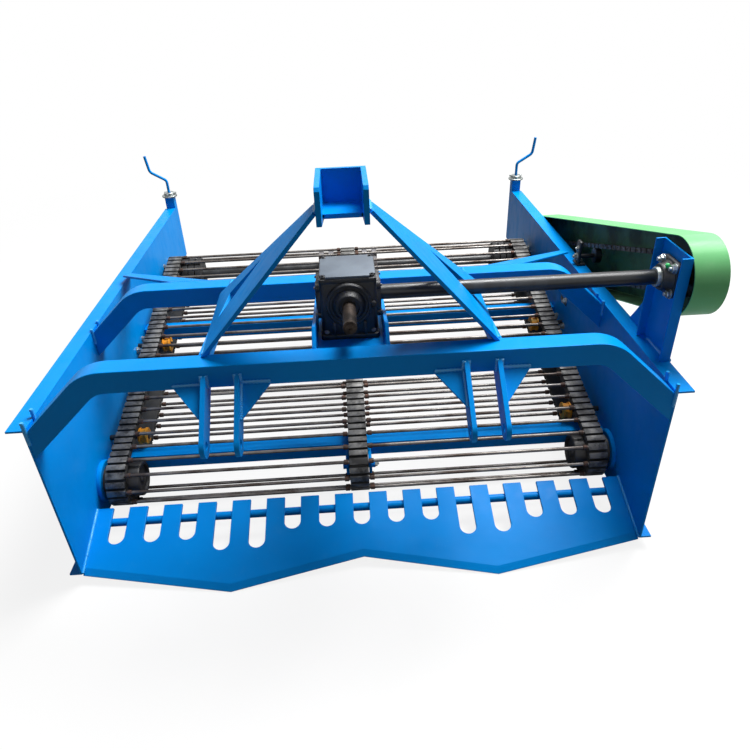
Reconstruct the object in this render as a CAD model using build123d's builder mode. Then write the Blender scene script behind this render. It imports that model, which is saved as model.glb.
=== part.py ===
from build123d import *
import math
import os

# A tractor-mounted potato digger: a slotted share lifts the ridge onto a rising
# rod web that runs between two side plates and is driven from the tractor's shaft.
# Millimetres. +Z is up, the front faces -Y, and +X is the side of the chain guard.
# The origin is the centre of the front end of the input shaft.

# Side plates
inner_width = 1650.0
plate_thickness = 6.0
plate_length = 1800.0
plate_height = 525.0
plate_front_y = -30.0
plate_bottom_z = -745.0
plate_tail_rise = 235.0
plate_toe_length = 420.0
top_flange_width = 42.0
bottom_flange_width = 30.0

# Digging share
share_slope = 19.1
share_thickness = 10.0
share_rear_y = 170.0
share_rear_rise = 70.0
share_corner_reach = 212.0
share_tip_reach = 290.0
share_tip_x = 388.0
share_valley_reach = 210.0
share_bevel = 7.0
slot_pitch = 107.0
slot_width = 50.0
slot_reach_outer = 122.0
slot_reach_long = 162.0
slot_reach_inner = 108.0
share_tube_radius = 11.0
share_tube_back = 40.0

# Arched cross beams, square tube
beam_size = 60.0
beam_wall = 5.0
beam_top_rise = 680.0
beam_leg_drop = 175.0
beam_leg_slope = 43.0
beam_bend_radius = 95.0
rear_beam_setback = 525.0
rear_beam_lower = 26.0
tie_thickness = 8.0
tie_x = 372.0

# Top mast
leg_thickness = 10.0
leg_foot_trim = 70.0
leg_foot_x = 356.0
leg_front_foot_y = 50.0
leg_rear_foot_y = 497.0
leg_top_front_y = 5.0
leg_top_rear_y = 68.0
leg_slot_corners = ((208.0, 231.0), (297.0, 62.0), (204.0, 30.0))
cheek_thickness = 12.0
cheek_half_width = 57.0
cheek_front_y = -10.0
cheek_depth = 165.0
cheek_top_rise = 1092.0
leg_top_drop = 62.0
cheek_front_height = 82.0
cheek_tail_height = 118.0
cheek_corner = 8.0
box_plate = 10.0
box_floor_depth = 85.0
top_pin_radius = 9.75
top_pin_back = 42.0
top_pin_drop = 40.0

# Lower hitch lugs
lug_thickness = 12.0
lug_pair_x = 318.0
lug_gap = 69.0
lug_end_radius = 30.0
lug_slope = 38.4
lug_pin_y = -114.0
lug_pin_rise = 531.0
lug_pin_radius = 11.2
lug_under_beam = 30.0
gusset_width = 76.0
gusset_length = 98.0
gusset_thickness = 8.0
gusset_rise = 12.0

# Gearbox, seated between the two beams
cross_axis_y = 198.0
gearbox_width = 146.0
gearbox_depth = 146.0
gearbox_setback = 9.0
gearbox_top = 76.0
gearbox_bottom = 100.0
gearbox_corner = 6.0
cover_thickness = 7.0
cover_inset = 3.0
front_boss_radius = 56.0
front_boss_length = 12.0
front_ring_radius = 36.0
front_ring_length = 26.0
side_flange_radius = 55.0
side_flange_length = 12.0
foot_thickness = 14.0
foot_overhang = 4.0
shaft_radius = 17.45

# Cradle under the gearbox
cradle_plate = 14.0
cheek_plate = 10.0
cheek_plate_gap = 2.0
cheek_profile = ((50.0, 70.0), (104.0, 55.0), (241.0, 40.0))
rail_depth = 26.0

# Cross shaft and its outer bearing
cross_radius = 20.0
cross_tip_radius = 15.0
bracket_depth = 160.0
bracket_height = 300.0
bracket_wall = 6.0
bracket_fold = 24.0
bracket_bore = 24.0
bracket_gusset_foot = 110.0
bracket_gusset_height = 143.0
bearing_flange = 100.0
bearing_flange_thickness = 13.0
bearing_corner = 18.0
bearing_hub_radius = 37.0
bearing_hub_length = 36.0
bearing_ring_radius = 27.0
bearing_ring_length = 12.0

# Chain drive outside the right plate
chain_gap = 42.0
chain_width = 14.0
chain_thickness = 15.0
drive_pitch_radius = 52.0
driven_pitch_radius = 66.0
sprocket_thickness = 9.0
sprocket_hub_radius = 27.0
sprocket_hub_length = 18.0
chain_seat = 0.3
shaft_past_chain = 18.0
guard_width = 92.0
guard_wall = 3.0
guard_front_radius = 108.0
guard_rear_radius = 140.0
guard_rear_y = 1400.0
guard_rear_rise = 373.0
idler_y = 830.0
idler_radius = 27.0
idler_width = 22.0
idler_bar_rise = 60.0
idler_pin_radius = 8.0
idler_gap = 0.3
idler_bar_width = 34.0
idler_bar_thickness = 9.0

# Rod web
nose_y = 270.0
nose_rise = 100.0
drive_y = 1365.0
drive_rise = 342.0
wheel_radius = 58.0
belt_thickness = 13.0
belt_width = 60.0
belt_side_gap = 33.0
rod_radius = 5.5
rod_seat = 0.3
rod_count = 50
rod_sides = 8
drum_sides = 24
shaft_sides = 16
pin_sides = 10
cleat_height = 7.0
cleat_length = 14.0
nose_wheel_width = 58.0
nose_boss_radius = 50.0
fork_half = 22.0
fork_thickness = 10.0
drive_shaft_radius = 21.0
drive_shaft_stub = 20.0
plate_bore_gap = 4.0
drive_end_radius = 17.0
drive_bearing_radius = 48.0
drive_bearing_sides = 8
drive_bearing_thickness = 14.0
drum_width = 56.0
inner_drum_gap = 2.0
inner_drum_width = 80.0
centre_block_x = 96.0
centre_block_width = 66.0

# Members and rollers under the web
member_size = 50.0
member_wall = 4.0
front_member_y = 385.0
front_member_rise = 115.0
rear_member_y = 1005.0
rear_member_rise = 265.0
roller_radius = 28.0
roller_width = 30.0
roller_belt_gap = 3.0
roller_places = (410.0, 860.0)
roller_pin_radius = 9.0

# Braces from the rear beam to the plates
brace_thickness = 8.0
brace_foot_inner_x = 440.0
brace_foot_outer_x = 560.0
brace_front_y = 905.0
brace_rear_y = 988.0
brace_fall = 0.31

# Depth wheels behind the plates
post_size = 42.0
post_wall = 4.0
post_bottom_rise = 272.0
post_above_plate = 52.0
slide_gap = 0.3
leg_top_rise_inside = 452.0
wheel_travel_up = 80.0
wheel_travel_down = 60.0
collar_radius = 35.0
collar_height = 8.0
collar_cap_radius = 24.0
collar_cap_height = 13.0
crank_radius = 6.5
crank_sides = 8
crank_points = ((0.0, 0.0), (0.0, 56.0), (70.0, 98.0), (80.0, 172.0))
crank_bend = 26.0
wheel_sides = 40
tyre_radius = 200.0
tyre_width = 105.0
tyre_bead = 14.0
tyre_profile = (
    (-52.5, 50.0),
    (-49.0, 19.0),
    (-28.0, 3.0),
    (0.0, 0.0),
    (28.0, 3.0),
    (49.0, 19.0),
    (52.5, 50.0),
)
rim_radius = 102.0
rim_wall = 4.0
rim_width = 84.0
rim_flange = 12.0
rim_disc_half = 4.0
wheel_side_gap = 32.0
wheel_hub_radius = 26.0
wheel_hub_width = 84.0
axle_stub_radius = 17.5
spindle_radius = 12.5
spindle_gap = 0.05
washer_radius = 22.0
washer_thickness = 6.0
wheel_end_play = 0.3

os.makedirs("parts", exist_ok=True)

# Places worked out from the sizes above
plate_in_x = inner_width / 2
plate_out_x = plate_in_x + plate_thickness
plate_top_z = plate_bottom_z + plate_height
plate_rear_y = plate_front_y + plate_length
beam_top_z = plate_bottom_z + beam_top_rise
rear_beam_y = plate_front_y + rear_beam_setback
rear_beam_top_z = beam_top_z - rear_beam_lower
share_rear_z = plate_bottom_z + share_rear_rise
slope_sin = math.sin(math.radians(share_slope))
slope_cos = math.cos(math.radians(share_slope))
nose_z = plate_bottom_z + nose_rise
drive_z = plate_bottom_z + drive_rise
web_rise = math.atan2(drive_z - nose_z, drive_y - nose_y)
web_length = math.hypot(drive_z - nose_z, drive_y - nose_y)
rod_ring = wheel_radius + belt_thickness + rod_seat + rod_radius
belt_outer_x = plate_in_x - belt_side_gap
belt_inner_x = belt_outer_x - belt_width
roller_x = belt_inner_x - roller_belt_gap - roller_width / 2
inner_drum_x = belt_inner_x - inner_drum_gap - inner_drum_width / 2
chain_x = plate_out_x + top_flange_width + chain_gap
wheel_inner_x = plate_out_x + top_flange_width + wheel_side_gap
post_top_rise = plate_height + post_above_plate
post_x = plate_in_x + post_size / 2
post_y = plate_rear_y + post_size / 2
lowest_share_z = share_rear_z - share_tip_reach * slope_sin - share_thickness * slope_cos
axle_z = lowest_share_z + tyre_radius
sides = (("left", -1), ("right", 1))


def save(part, label):
    part.label = label
    export_step(part, f"parts/{label}.step")


def web_point(place, ring):
    """A point on the web's loop and its outward direction, as y, z, dy, dz."""
    arc = math.pi * ring
    loop = 2 * web_length + 2 * arc
    along = place % loop
    up = web_rise + math.pi / 2
    if along < web_length:
        base_y = nose_y + along * math.cos(web_rise)
        base_z = nose_z + along * math.sin(web_rise)
        turn = up
    elif along < web_length + arc:
        base_y, base_z = drive_y, drive_z
        turn = up - (along - web_length) / ring
    elif along < 2 * web_length + arc:
        back = along - web_length - arc
        base_y = drive_y - back * math.cos(web_rise)
        base_z = drive_z - back * math.sin(web_rise)
        turn = up - math.pi
    else:
        base_y, base_z = nose_y, nose_z
        turn = up - math.pi - (along - 2 * web_length - arc) / ring
    return (base_y + ring * math.cos(turn), base_z + ring * math.sin(turn), turn)


def rod_places(shift=0.0):
    loop = 2 * web_length + 2 * math.pi * rod_ring
    return [web_point((number + shift) * loop / rod_count, rod_ring) for number in range(rod_count)]


# Side plates with an outward flange along the top and the bottom
for side, sign in sides:
    with BuildPart() as side_plate:
        with BuildSketch(Plane.YZ.offset(sign * plate_in_x)):
            with BuildLine():
                Polyline(
                    (plate_front_y, plate_bottom_z),
                    (plate_front_y, plate_top_z),
                    (plate_rear_y, plate_top_z),
                    (plate_rear_y, plate_bottom_z + plate_tail_rise),
                    (plate_front_y + plate_toe_length, plate_bottom_z),
                    close=True,
                )
            make_face()
            with Locations((drive_y, drive_z)):
                RegularPolygon(drive_shaft_radius + plate_bore_gap, shaft_sides, mode=Mode.SUBTRACT)
        extrude(amount=sign * plate_thickness)
        with BuildSketch(Plane.YZ.offset(sign * plate_out_x)):
            with Locations(((plate_front_y + plate_rear_y) / 2, plate_top_z - plate_thickness / 2)):
                Rectangle(plate_length, plate_thickness)
        extrude(amount=sign * top_flange_width)
        with BuildSketch(Plane.YZ.offset(sign * plate_out_x)):
            with BuildLine():
                Polyline(
                    (plate_front_y, plate_bottom_z),
                    (plate_front_y + plate_toe_length, plate_bottom_z),
                    (plate_rear_y, plate_bottom_z + plate_tail_rise),
                    (plate_rear_y, plate_bottom_z + plate_tail_rise + plate_thickness),
                    (plate_front_y + plate_toe_length, plate_bottom_z + plate_thickness),
                    (plate_front_y, plate_bottom_z + plate_thickness),
                    close=True,
                )
            make_face()
        extrude(amount=sign * bottom_flange_width)
    save(side_plate.part, f"side_plate_{side}")

# Arched beams, the front one flush with the front edges of the plates
for name, front_y, top_z in (
    ("front", plate_front_y, beam_top_z),
    ("rear", rear_beam_y, rear_beam_top_z),
):
    middle_y = front_y + beam_size / 2
    middle_z = top_z - beam_size / 2
    drop = beam_leg_drop - (beam_top_z - top_z)
    bend_x = plate_in_x - drop / math.tan(math.radians(beam_leg_slope))
    reach = beam_size
    reach_drop = reach * math.tan(math.radians(beam_leg_slope))
    with BuildPart() as arch_beam:
        with BuildLine() as arch_path:
            FilletPolyline(
                (-plate_in_x - reach, middle_y, middle_z - drop - reach_drop),
                (-bend_x, middle_y, middle_z),
                (bend_x, middle_y, middle_z),
                (plate_in_x + reach, middle_y, middle_z - drop - reach_drop),
                radius=beam_bend_radius,
            )
        with BuildSketch(
            Plane(origin=arch_path.line @ 0, x_dir=(0, 1, 0), z_dir=arch_path.line % 0)
        ):
            Rectangle(beam_size, beam_size)
            Rectangle(beam_size - 2 * beam_wall, beam_size - 2 * beam_wall, mode=Mode.SUBTRACT)
        sweep(path=arch_path.line)
        with BuildSketch(Plane.XY.offset(middle_z - beam_leg_drop - 2 * beam_size)):
            with Locations((0, middle_y)):
                Rectangle(inner_width, 2 * beam_size)
        extrude(amount=beam_leg_drop + 4 * beam_size, mode=Mode.INTERSECT)
    save(arch_beam.part, f"{name}_arch_beam")

# Tie plates between the beams, under the feet of the mast
tie_front_y = plate_front_y + beam_size
with BuildPart() as beam_ties:
    for side, sign in sides:
        with BuildSketch(Plane.YZ.offset(sign * (tie_x - tie_thickness / 2))):
            with BuildLine():
                Polyline(
                    (tie_front_y, beam_top_z - beam_size),
                    (tie_front_y, beam_top_z),
                    (rear_beam_y, rear_beam_top_z),
                    (rear_beam_y, rear_beam_top_z - beam_size),
                    close=True,
                )
            make_face()
        extrude(amount=sign * tie_thickness)
save(beam_ties.part, "beam_ties")

# Mast legs, flat plates that lean in to the hitch box, each with a narrow three-cornered slot
leg_foot_z = beam_top_z
box_top_z = plate_bottom_z + cheek_top_rise
leg_top_z = box_top_z - leg_top_drop
leg_top_x = cheek_half_width
lean_length = math.hypot(leg_foot_x - leg_top_x, leg_top_z - leg_foot_z)
for side, sign in sides:
    lean_out = Vector(
        sign * (leg_top_z - leg_foot_z) / lean_length, 0, (leg_foot_x - leg_top_x) / lean_length
    )
    leg_plane = Plane(
        origin=(sign * leg_foot_x, 0, leg_foot_z), x_dir=(0, 1, 0), z_dir=lean_out
    )
    up_sign = 1 if leg_plane.y_dir.Z > 0 else -1
    front_foot = plate_front_y + leg_front_foot_y
    rear_foot = plate_front_y + leg_rear_foot_y
    top_front = plate_front_y + leg_top_front_y
    top_rear = plate_front_y + leg_top_rear_y
    with BuildPart() as mast_leg:
        with BuildSketch(leg_plane):
            with BuildLine():
                Polyline(
                    (front_foot, -up_sign * leg_foot_trim),
                    (top_front, up_sign * lean_length),
                    (top_rear, up_sign * lean_length),
                    (rear_foot, -up_sign * leg_foot_trim),
                    close=True,
                )
            make_face()
            with BuildLine():
                Polyline(
                    *[(plate_front_y + reach, up_sign * along) for reach, along in leg_slot_corners],
                    close=True,
                )
            make_face(mode=Mode.SUBTRACT)
        extrude(amount=leg_thickness)
        with BuildSketch(Plane.YZ.offset(-inner_width / 2)):
            with BuildLine():
                Polyline(
                    (plate_front_y, leg_foot_z - 2 * beam_size),
                    (plate_front_y, leg_foot_z),
                    (plate_front_y + beam_size, leg_foot_z),
                    (rear_beam_y, rear_beam_top_z),
                    (rear_beam_y + beam_size, rear_beam_top_z),
                    (rear_beam_y + beam_size, leg_foot_z - 2 * beam_size),
                    close=True,
                )
            make_face()
        extrude(amount=inner_width, mode=Mode.SUBTRACT)
    save(mast_leg.part, f"mast_leg_{side}")

# Top hitch box: two cheeks, a floor and a back
box_front_y = plate_front_y + cheek_front_y
box_rear_y = box_front_y + cheek_depth
box_floor_z = box_top_z - cheek_front_height
top_pin_y = box_front_y + top_pin_back
top_pin_z = box_top_z - top_pin_drop
with BuildPart() as top_hitch_box:
    with BuildSketch(Plane.YZ.offset(-cheek_half_width)):
        with BuildLine():
            Polyline(
                (box_front_y, box_floor_z),
                (box_front_y, box_top_z - cheek_corner),
                (box_front_y + cheek_corner, box_top_z),
                (box_rear_y, box_top_z),
                (box_rear_y, box_top_z - cheek_tail_height),
                close=True,
            )
        make_face()
        with Locations((top_pin_y, top_pin_z)):
            Circle(top_pin_radius, mode=Mode.SUBTRACT)
    extrude(amount=2 * cheek_half_width)
    with BuildSketch(Plane.YZ.offset(cheek_thickness - cheek_half_width)):
        with Locations(((box_front_y + box_rear_y) / 2 - box_plate, box_top_z)):
            Rectangle(cheek_depth, 4 * cheek_tail_height)
    extrude(amount=2 * (cheek_half_width - cheek_thickness), mode=Mode.SUBTRACT)
    with BuildSketch(Plane.YZ.offset(cheek_thickness - cheek_half_width)):
        with Locations((box_rear_y - box_plate - box_floor_depth / 2, box_top_z - cheek_front_height)):
            Rectangle(box_floor_depth, box_plate)
    extrude(amount=2 * (cheek_half_width - cheek_thickness))
save(top_hitch_box.part, "top_hitch_box")

# Lower hitch lugs in pairs under the front beam, each with a gusset on its free side
lug_pin_place_y = plate_front_y + lug_pin_y
lug_pin_z = plate_bottom_z + lug_pin_rise
lug_dir_y = -math.cos(math.radians(lug_slope))
lug_dir_z = -math.sin(math.radians(lug_slope))
lug_tan = math.tan(math.radians(lug_slope))
upper_y = lug_pin_place_y + lug_end_radius * lug_dir_z
upper_z = lug_pin_z - lug_end_radius * lug_dir_y
lower_y = lug_pin_place_y - lug_end_radius * lug_dir_z
lower_z = lug_pin_z + lug_end_radius * lug_dir_y
beam_low_z = beam_top_z - beam_size
under_y = plate_front_y + lug_under_beam
for side, sign in sides:
    with BuildPart() as lower_hitch:
        for step in (-1, 1):
            lug_inner_x = lug_pair_x + step * (lug_gap + lug_thickness) / 2 - lug_thickness / 2
            with BuildSketch(Plane.YZ.offset(sign * lug_inner_x)):
                with BuildLine():
                    Line((upper_y, upper_z), (plate_front_y, upper_z + (plate_front_y - upper_y) * lug_tan))
                    Polyline(
                        (plate_front_y, upper_z + (plate_front_y - upper_y) * lug_tan),
                        (plate_front_y, beam_low_z),
                        (under_y, beam_low_z),
                        (under_y, lower_z + (under_y - lower_y) * lug_tan),
                        (lower_y, lower_z),
                    )
                    ThreePointArc(
                        (lower_y, lower_z),
                        (
                            lug_pin_place_y + lug_end_radius * lug_dir_y,
                            lug_pin_z + lug_end_radius * lug_dir_z,
                        ),
                        (upper_y, upper_z),
                    )
                make_face()
                with Locations((lug_pin_place_y, lug_pin_z)):
                    Circle(lug_pin_radius, mode=Mode.SUBTRACT)
            extrude(amount=sign * lug_thickness)
            free_x = lug_inner_x if step < 0 else lug_inner_x + lug_thickness
            gusset_plane = Plane(
                origin=(
                    sign * free_x,
                    plate_front_y,
                    beam_low_z + gusset_rise,
                ),
                x_dir=(1, 0, 0),
                z_dir=(0, lug_dir_z, -lug_dir_y),
            )
            out = sign * step
            down = -1 if gusset_plane.y_dir.Z > 0 else 1
            with BuildSketch(gusset_plane):
                with BuildLine():
                    Polyline(
                        (0, 0), (out * gusset_width, 0), (0, down * gusset_length), close=True
                    )
                make_face()
            extrude(amount=-gusset_thickness)
        with BuildSketch(Plane.XY.offset(beam_low_z)):
            with Locations((0, plate_front_y + beam_size)):
                Rectangle(inner_width, 2 * beam_size)
        extrude(amount=2 * beam_size, mode=Mode.SUBTRACT)
    save(lower_hitch.part, f"lower_hitch_{side}")

# Digging share: one sloping plate with a two-pointed edge, slots open to the rear and a bevelled edge
share_plane = Plane(
    origin=(0, share_rear_y, share_rear_z),
    x_dir=(1, 0, 0),
    z_dir=(0, -slope_sin, slope_cos),
)
with BuildPart() as digging_share:
    with BuildSketch(share_plane):
        with BuildLine():
            Polyline(
                (-plate_in_x, 0),
                (-plate_in_x, -share_corner_reach),
                (-share_tip_x, -share_tip_reach),
                (0, -share_valley_reach),
                (share_tip_x, -share_tip_reach),
                (plate_in_x, -share_corner_reach),
                (plate_in_x, 0),
                close=True,
            )
        make_face()
        for number in range(-7, 8):
            reach = slot_reach_outer
            if abs(number) in (3, 4):
                reach = slot_reach_long
            if abs(number) < 3:
                reach = slot_reach_inner
            with Locations((number * slot_pitch, slot_width / 2 - reach / 2)):
                SlotOverall(reach + slot_width, slot_width, rotation=90, mode=Mode.SUBTRACT)
    extrude(amount=-share_thickness)
    edge_low = digging_share.edges().filter_by(
        lambda edge: edge.length > 300 and abs(edge.tangent_at(0).X) > 0.9
        and edge.center().Y < share_rear_y - share_valley_reach * slope_cos * 0.8
    )
    top_edges = edge_low.filter_by(
        lambda edge: abs((edge.center() - share_plane.origin).dot(share_plane.z_dir)) < 1
    )
    chamfer(top_edges, length=share_bevel, length2=share_bevel * 3)
save(digging_share.part, "digging_share")

share_tube_y = share_rear_y - share_tube_back * slope_cos + (share_thickness + share_tube_radius) * slope_sin
share_tube_z = share_rear_z - share_tube_back * slope_sin - (share_thickness + share_tube_radius) * slope_cos
with BuildPart() as share_tube:
    with BuildSketch(Plane.YZ.offset(-plate_in_x)):
        with Locations((share_tube_y, share_tube_z)):
            Circle(share_tube_radius)
    extrude(amount=inner_width)
save(share_tube.part, "share_tube")

# Gearbox casting with a cover, round bosses at the shafts and a foot
cross_side_x = gearbox_width / 2
gearbox_y = cross_axis_y + gearbox_setback
with BuildPart() as gearbox:
    with BuildSketch(Plane.XY.offset(-gearbox_bottom)) as gearbox_plan:
        with Locations((0, gearbox_y)):
            Rectangle(gearbox_width, gearbox_depth)
        chamfer(gearbox_plan.vertices(), length=gearbox_corner)
    extrude(amount=gearbox_bottom + gearbox_top - cover_thickness)
    with BuildSketch(Plane.XY.offset(gearbox_top - cover_thickness)):
        with Locations((0, gearbox_y)):
            Rectangle(gearbox_width - 2 * cover_inset, gearbox_depth - 2 * cover_inset)
    extrude(amount=cover_thickness)
    with BuildSketch(Plane.XY.offset(-gearbox_bottom)):
        with Locations((0, gearbox_y)):
            Rectangle(gearbox_width + 2 * foot_overhang, gearbox_depth + 2 * foot_overhang)
    extrude(amount=foot_thickness)
    with BuildSketch(Plane.XZ.offset(gearbox_depth / 2 - gearbox_y)):
        RegularPolygon(front_boss_radius, drum_sides)
    extrude(amount=front_boss_length)
    with BuildSketch(Plane.XZ.offset(gearbox_depth / 2 - gearbox_y)):
        RegularPolygon(front_ring_radius, drum_sides)
    extrude(amount=front_ring_length)
    with BuildSketch(Plane.YZ.offset(-cross_side_x - side_flange_length)):
        with Locations((cross_axis_y, 0)):
            RegularPolygon(side_flange_radius, drum_sides)
    extrude(amount=gearbox_width + 2 * side_flange_length)
save(gearbox.part, "gearbox")

# Input shaft, its front end at the origin
shaft_root_y = gearbox_y - gearbox_depth / 2 - front_ring_length
with BuildPart() as input_shaft:
    with BuildSketch(Plane.XZ.offset(-shaft_root_y)):
        Circle(shaft_radius)
    extrude(amount=shaft_root_y)
save(input_shaft.part, "input_shaft")

# Cradle: a base plate on two rails between the beams, with a cheek on each side
base_top_z = -gearbox_bottom
base_half = gearbox_width / 2 + side_flange_length + cheek_plate_gap + cheek_plate
cradle_front_y = plate_front_y + beam_size
with BuildPart() as gearbox_cradle:
    with BuildSketch(Plane.XY.offset(base_top_z - cradle_plate)):
        with Locations((0, (cradle_front_y + rear_beam_y) / 2)):
            Rectangle(2 * base_half, rear_beam_y - cradle_front_y)
    extrude(amount=cradle_plate)
    for sign in (-1, 1):
        with BuildSketch(Plane.YZ.offset(sign * (base_half - cheek_plate))):
            with BuildLine():
                Polyline(
                    (cradle_front_y, base_top_z - rail_depth),
                    (cradle_front_y, beam_top_z),
                    *[(cradle_front_y + reach, base_top_z + rise) for reach, rise in cheek_profile],
                    (rear_beam_y, base_top_z + foot_thickness),
                    (rear_beam_y, base_top_z - rail_depth),
                    close=True,
                )
            make_face()
        extrude(amount=sign * cheek_plate)
save(gearbox_cradle.part, "gearbox_cradle")

# Cross shaft from the gearbox to the outer bearing and the drive sprocket
cross_start_x = cross_side_x + side_flange_length
bracket_web_x = plate_out_x + top_flange_width - bracket_wall
cross_end_x = chain_x + shaft_past_chain
with BuildPart() as cross_shaft:
    with BuildSketch(Plane.YZ.offset(cross_start_x)):
        with Locations((cross_axis_y, 0)):
            RegularPolygon(cross_radius, shaft_sides)
    extrude(amount=bracket_web_x - bearing_hub_length - cross_start_x)
    with BuildSketch(Plane.YZ.offset(bracket_web_x - bearing_hub_length)):
        with Locations((cross_axis_y, 0)):
            RegularPolygon(cross_tip_radius, shaft_sides)
    extrude(amount=cross_end_x - bracket_web_x + bearing_hub_length)
save(cross_shaft.part, "cross_shaft")

# Folded bearing bracket on the right plate's top flange, with a gusset behind it
bracket_front_y = cross_axis_y - bracket_depth / 2
bracket_rear_y = cross_axis_y + bracket_depth / 2
with BuildPart() as bearing_bracket:
    with BuildSketch(Plane.XY.offset(plate_top_z)):
        with Locations((bracket_web_x + bracket_wall / 2, cross_axis_y)):
            Rectangle(bracket_wall, bracket_depth)
        with Locations(
            (bracket_web_x - bracket_fold / 2 + bracket_wall / 2, bracket_front_y + bracket_wall / 2),
            (bracket_web_x - bracket_fold / 2 + bracket_wall / 2, bracket_rear_y - bracket_wall / 2),
        ):
            Rectangle(bracket_fold + bracket_wall, bracket_wall)
    extrude(amount=bracket_height)
    with BuildSketch(Plane.YZ.offset(bracket_web_x)):
        with Locations((cross_axis_y, 0)):
            RegularPolygon(bracket_bore, shaft_sides)
    extrude(amount=bracket_wall, mode=Mode.SUBTRACT)
    with BuildSketch(Plane.YZ.offset(bracket_web_x)):
        with BuildLine():
            Polyline(
                (bracket_rear_y, plate_top_z),
                (bracket_rear_y + bracket_gusset_foot, plate_top_z),
                (bracket_rear_y, plate_top_z + bracket_gusset_height),
                close=True,
            )
        make_face()
    extrude(amount=bracket_wall)
save(bearing_bracket.part, "bearing_bracket")

# Square flange bearing on the inner face of the bracket, with the locking ring of its shaft
with BuildPart() as flange_bearing:
    with BuildSketch(Plane.YZ.offset(bracket_web_x)) as flange_plan:
        with Locations((cross_axis_y, 0)):
            Rectangle(bearing_flange, bearing_flange)
        chamfer(flange_plan.vertices(), length=bearing_corner)
    extrude(amount=-bearing_flange_thickness)
    with BuildSketch(Plane.YZ.offset(bracket_web_x - bearing_flange_thickness)):
        with Locations((cross_axis_y, 0)):
            RegularPolygon(bearing_hub_radius, drum_sides)
    extrude(amount=bearing_flange_thickness - bearing_hub_length)
    with BuildSketch(Plane.YZ.offset(bracket_web_x)):
        with Locations((cross_axis_y, 0)):
            RegularPolygon(cross_tip_radius, shaft_sides)
    extrude(amount=-bearing_hub_length, mode=Mode.SUBTRACT)
    with BuildSketch(Plane.YZ.offset(bracket_web_x - bearing_hub_length)):
        with Locations((cross_axis_y, 0)):
            RegularPolygon(bearing_ring_radius, shaft_sides)
            RegularPolygon(cross_radius, shaft_sides, mode=Mode.SUBTRACT)
    extrude(amount=-bearing_ring_length)
save(flange_bearing.part, "flange_bearing")

# Sprockets on the two shafts
for name, centre, pitch_radius, bore in (
    ("drive", (cross_axis_y, 0.0), drive_pitch_radius, cross_tip_radius),
    ("driven", (drive_y, drive_z), driven_pitch_radius, drive_end_radius),
):
    with BuildPart() as sprocket:
        with BuildSketch(Plane.YZ.offset(chain_x - sprocket_thickness / 2)):
            with Locations(centre):
                RegularPolygon(pitch_radius - chain_thickness / 2 - chain_seat, drum_sides)
                RegularPolygon(bore, shaft_sides, mode=Mode.SUBTRACT)
        extrude(amount=sprocket_thickness)
        with BuildSketch(Plane.YZ.offset(chain_x - sprocket_thickness / 2)):
            with Locations(centre):
                RegularPolygon(sprocket_hub_radius, shaft_sides)
                RegularPolygon(bore, shaft_sides, mode=Mode.SUBTRACT)
        extrude(amount=-sprocket_hub_length)
    save(sprocket.part, f"{name}_sprocket")

# Drive chain, one fixed loop round both sprockets
chain_span = math.hypot(drive_y - cross_axis_y, drive_z)
chain_turn = math.degrees(math.atan2(drive_z, drive_y - cross_axis_y))
with BuildPart() as drive_chain:
    with BuildSketch(Plane.YZ.offset(chain_x - chain_width / 2)) as chain_side:
        with Locations((cross_axis_y, 0)):
            Circle(drive_pitch_radius + chain_thickness / 2)
        with Locations((drive_y, drive_z)):
            Circle(driven_pitch_radius + chain_thickness / 2)
        make_hull()
        with BuildSketch(mode=Mode.PRIVATE) as chain_inside:
            with Locations((cross_axis_y, 0)):
                Circle(drive_pitch_radius - chain_thickness / 2)
            with Locations((drive_y, drive_z)):
                Circle(driven_pitch_radius - chain_thickness / 2)
            make_hull()
        add(chain_inside.sketch, mode=Mode.SUBTRACT)
    extrude(amount=chain_width)
save(drive_chain.part, "drive_chain")

# Chain guard: a tray open toward the plate, its rim against the plate's flange at the rear
guard_inner_x = plate_out_x + top_flange_width
guard_rear_z = plate_bottom_z + guard_rear_rise
with BuildPart() as chain_guard:
    with BuildSketch(Plane.YZ.offset(guard_inner_x)):
        with Locations((cross_axis_y, 0)):
            Circle(guard_front_radius)
        with Locations((guard_rear_y, guard_rear_z)):
            Circle(guard_rear_radius)
        make_hull()
    extrude(amount=guard_width)
    with BuildSketch(Plane.YZ.offset(guard_inner_x)):
        with Locations((cross_axis_y, 0)):
            Circle(guard_front_radius - guard_wall)
        with Locations((guard_rear_y, guard_rear_z)):
            Circle(guard_rear_radius - guard_wall)
        make_hull()
    extrude(amount=guard_width - guard_wall, mode=Mode.SUBTRACT)
save(chain_guard.part, "chain_guard")

# Idler roller under the top run of the chain, on a flat arm that stands on the flange
chain_slope = math.atan2(drive_z, drive_y - cross_axis_y)
idler_share = (idler_y - cross_axis_y) / (drive_y - cross_axis_y)
idler_line_z = drive_z * idler_share
idler_reach = drive_pitch_radius + (driven_pitch_radius - drive_pitch_radius) * idler_share
idler_drop = chain_thickness / 2 + idler_gap + idler_radius
idler_z = idler_line_z + (idler_reach - idler_drop) / math.cos(chain_slope)
idler_bar_x = plate_out_x + top_flange_width / 2 - idler_bar_thickness
with BuildPart() as idler_arm:
    with BuildSketch(Plane.YZ.offset(idler_bar_x)):
        with Locations((idler_y, (plate_top_z + idler_z + idler_bar_rise) / 2)):
            Rectangle(idler_bar_width, idler_z + idler_bar_rise - plate_top_z)
    extrude(amount=idler_bar_thickness)
    with BuildSketch(Plane.YZ.offset(idler_bar_x)):
        with Locations((idler_y, idler_z)):
            RegularPolygon(idler_pin_radius, pin_sides)
    extrude(amount=chain_x - idler_bar_x)
    with BuildSketch(Plane.YZ.offset(chain_x - idler_width / 2)):
        with Locations((idler_y, idler_z)):
            RegularPolygon(idler_radius, shaft_sides)
    extrude(amount=idler_width)
save(idler_arm.part, "idler_arm")

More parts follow.
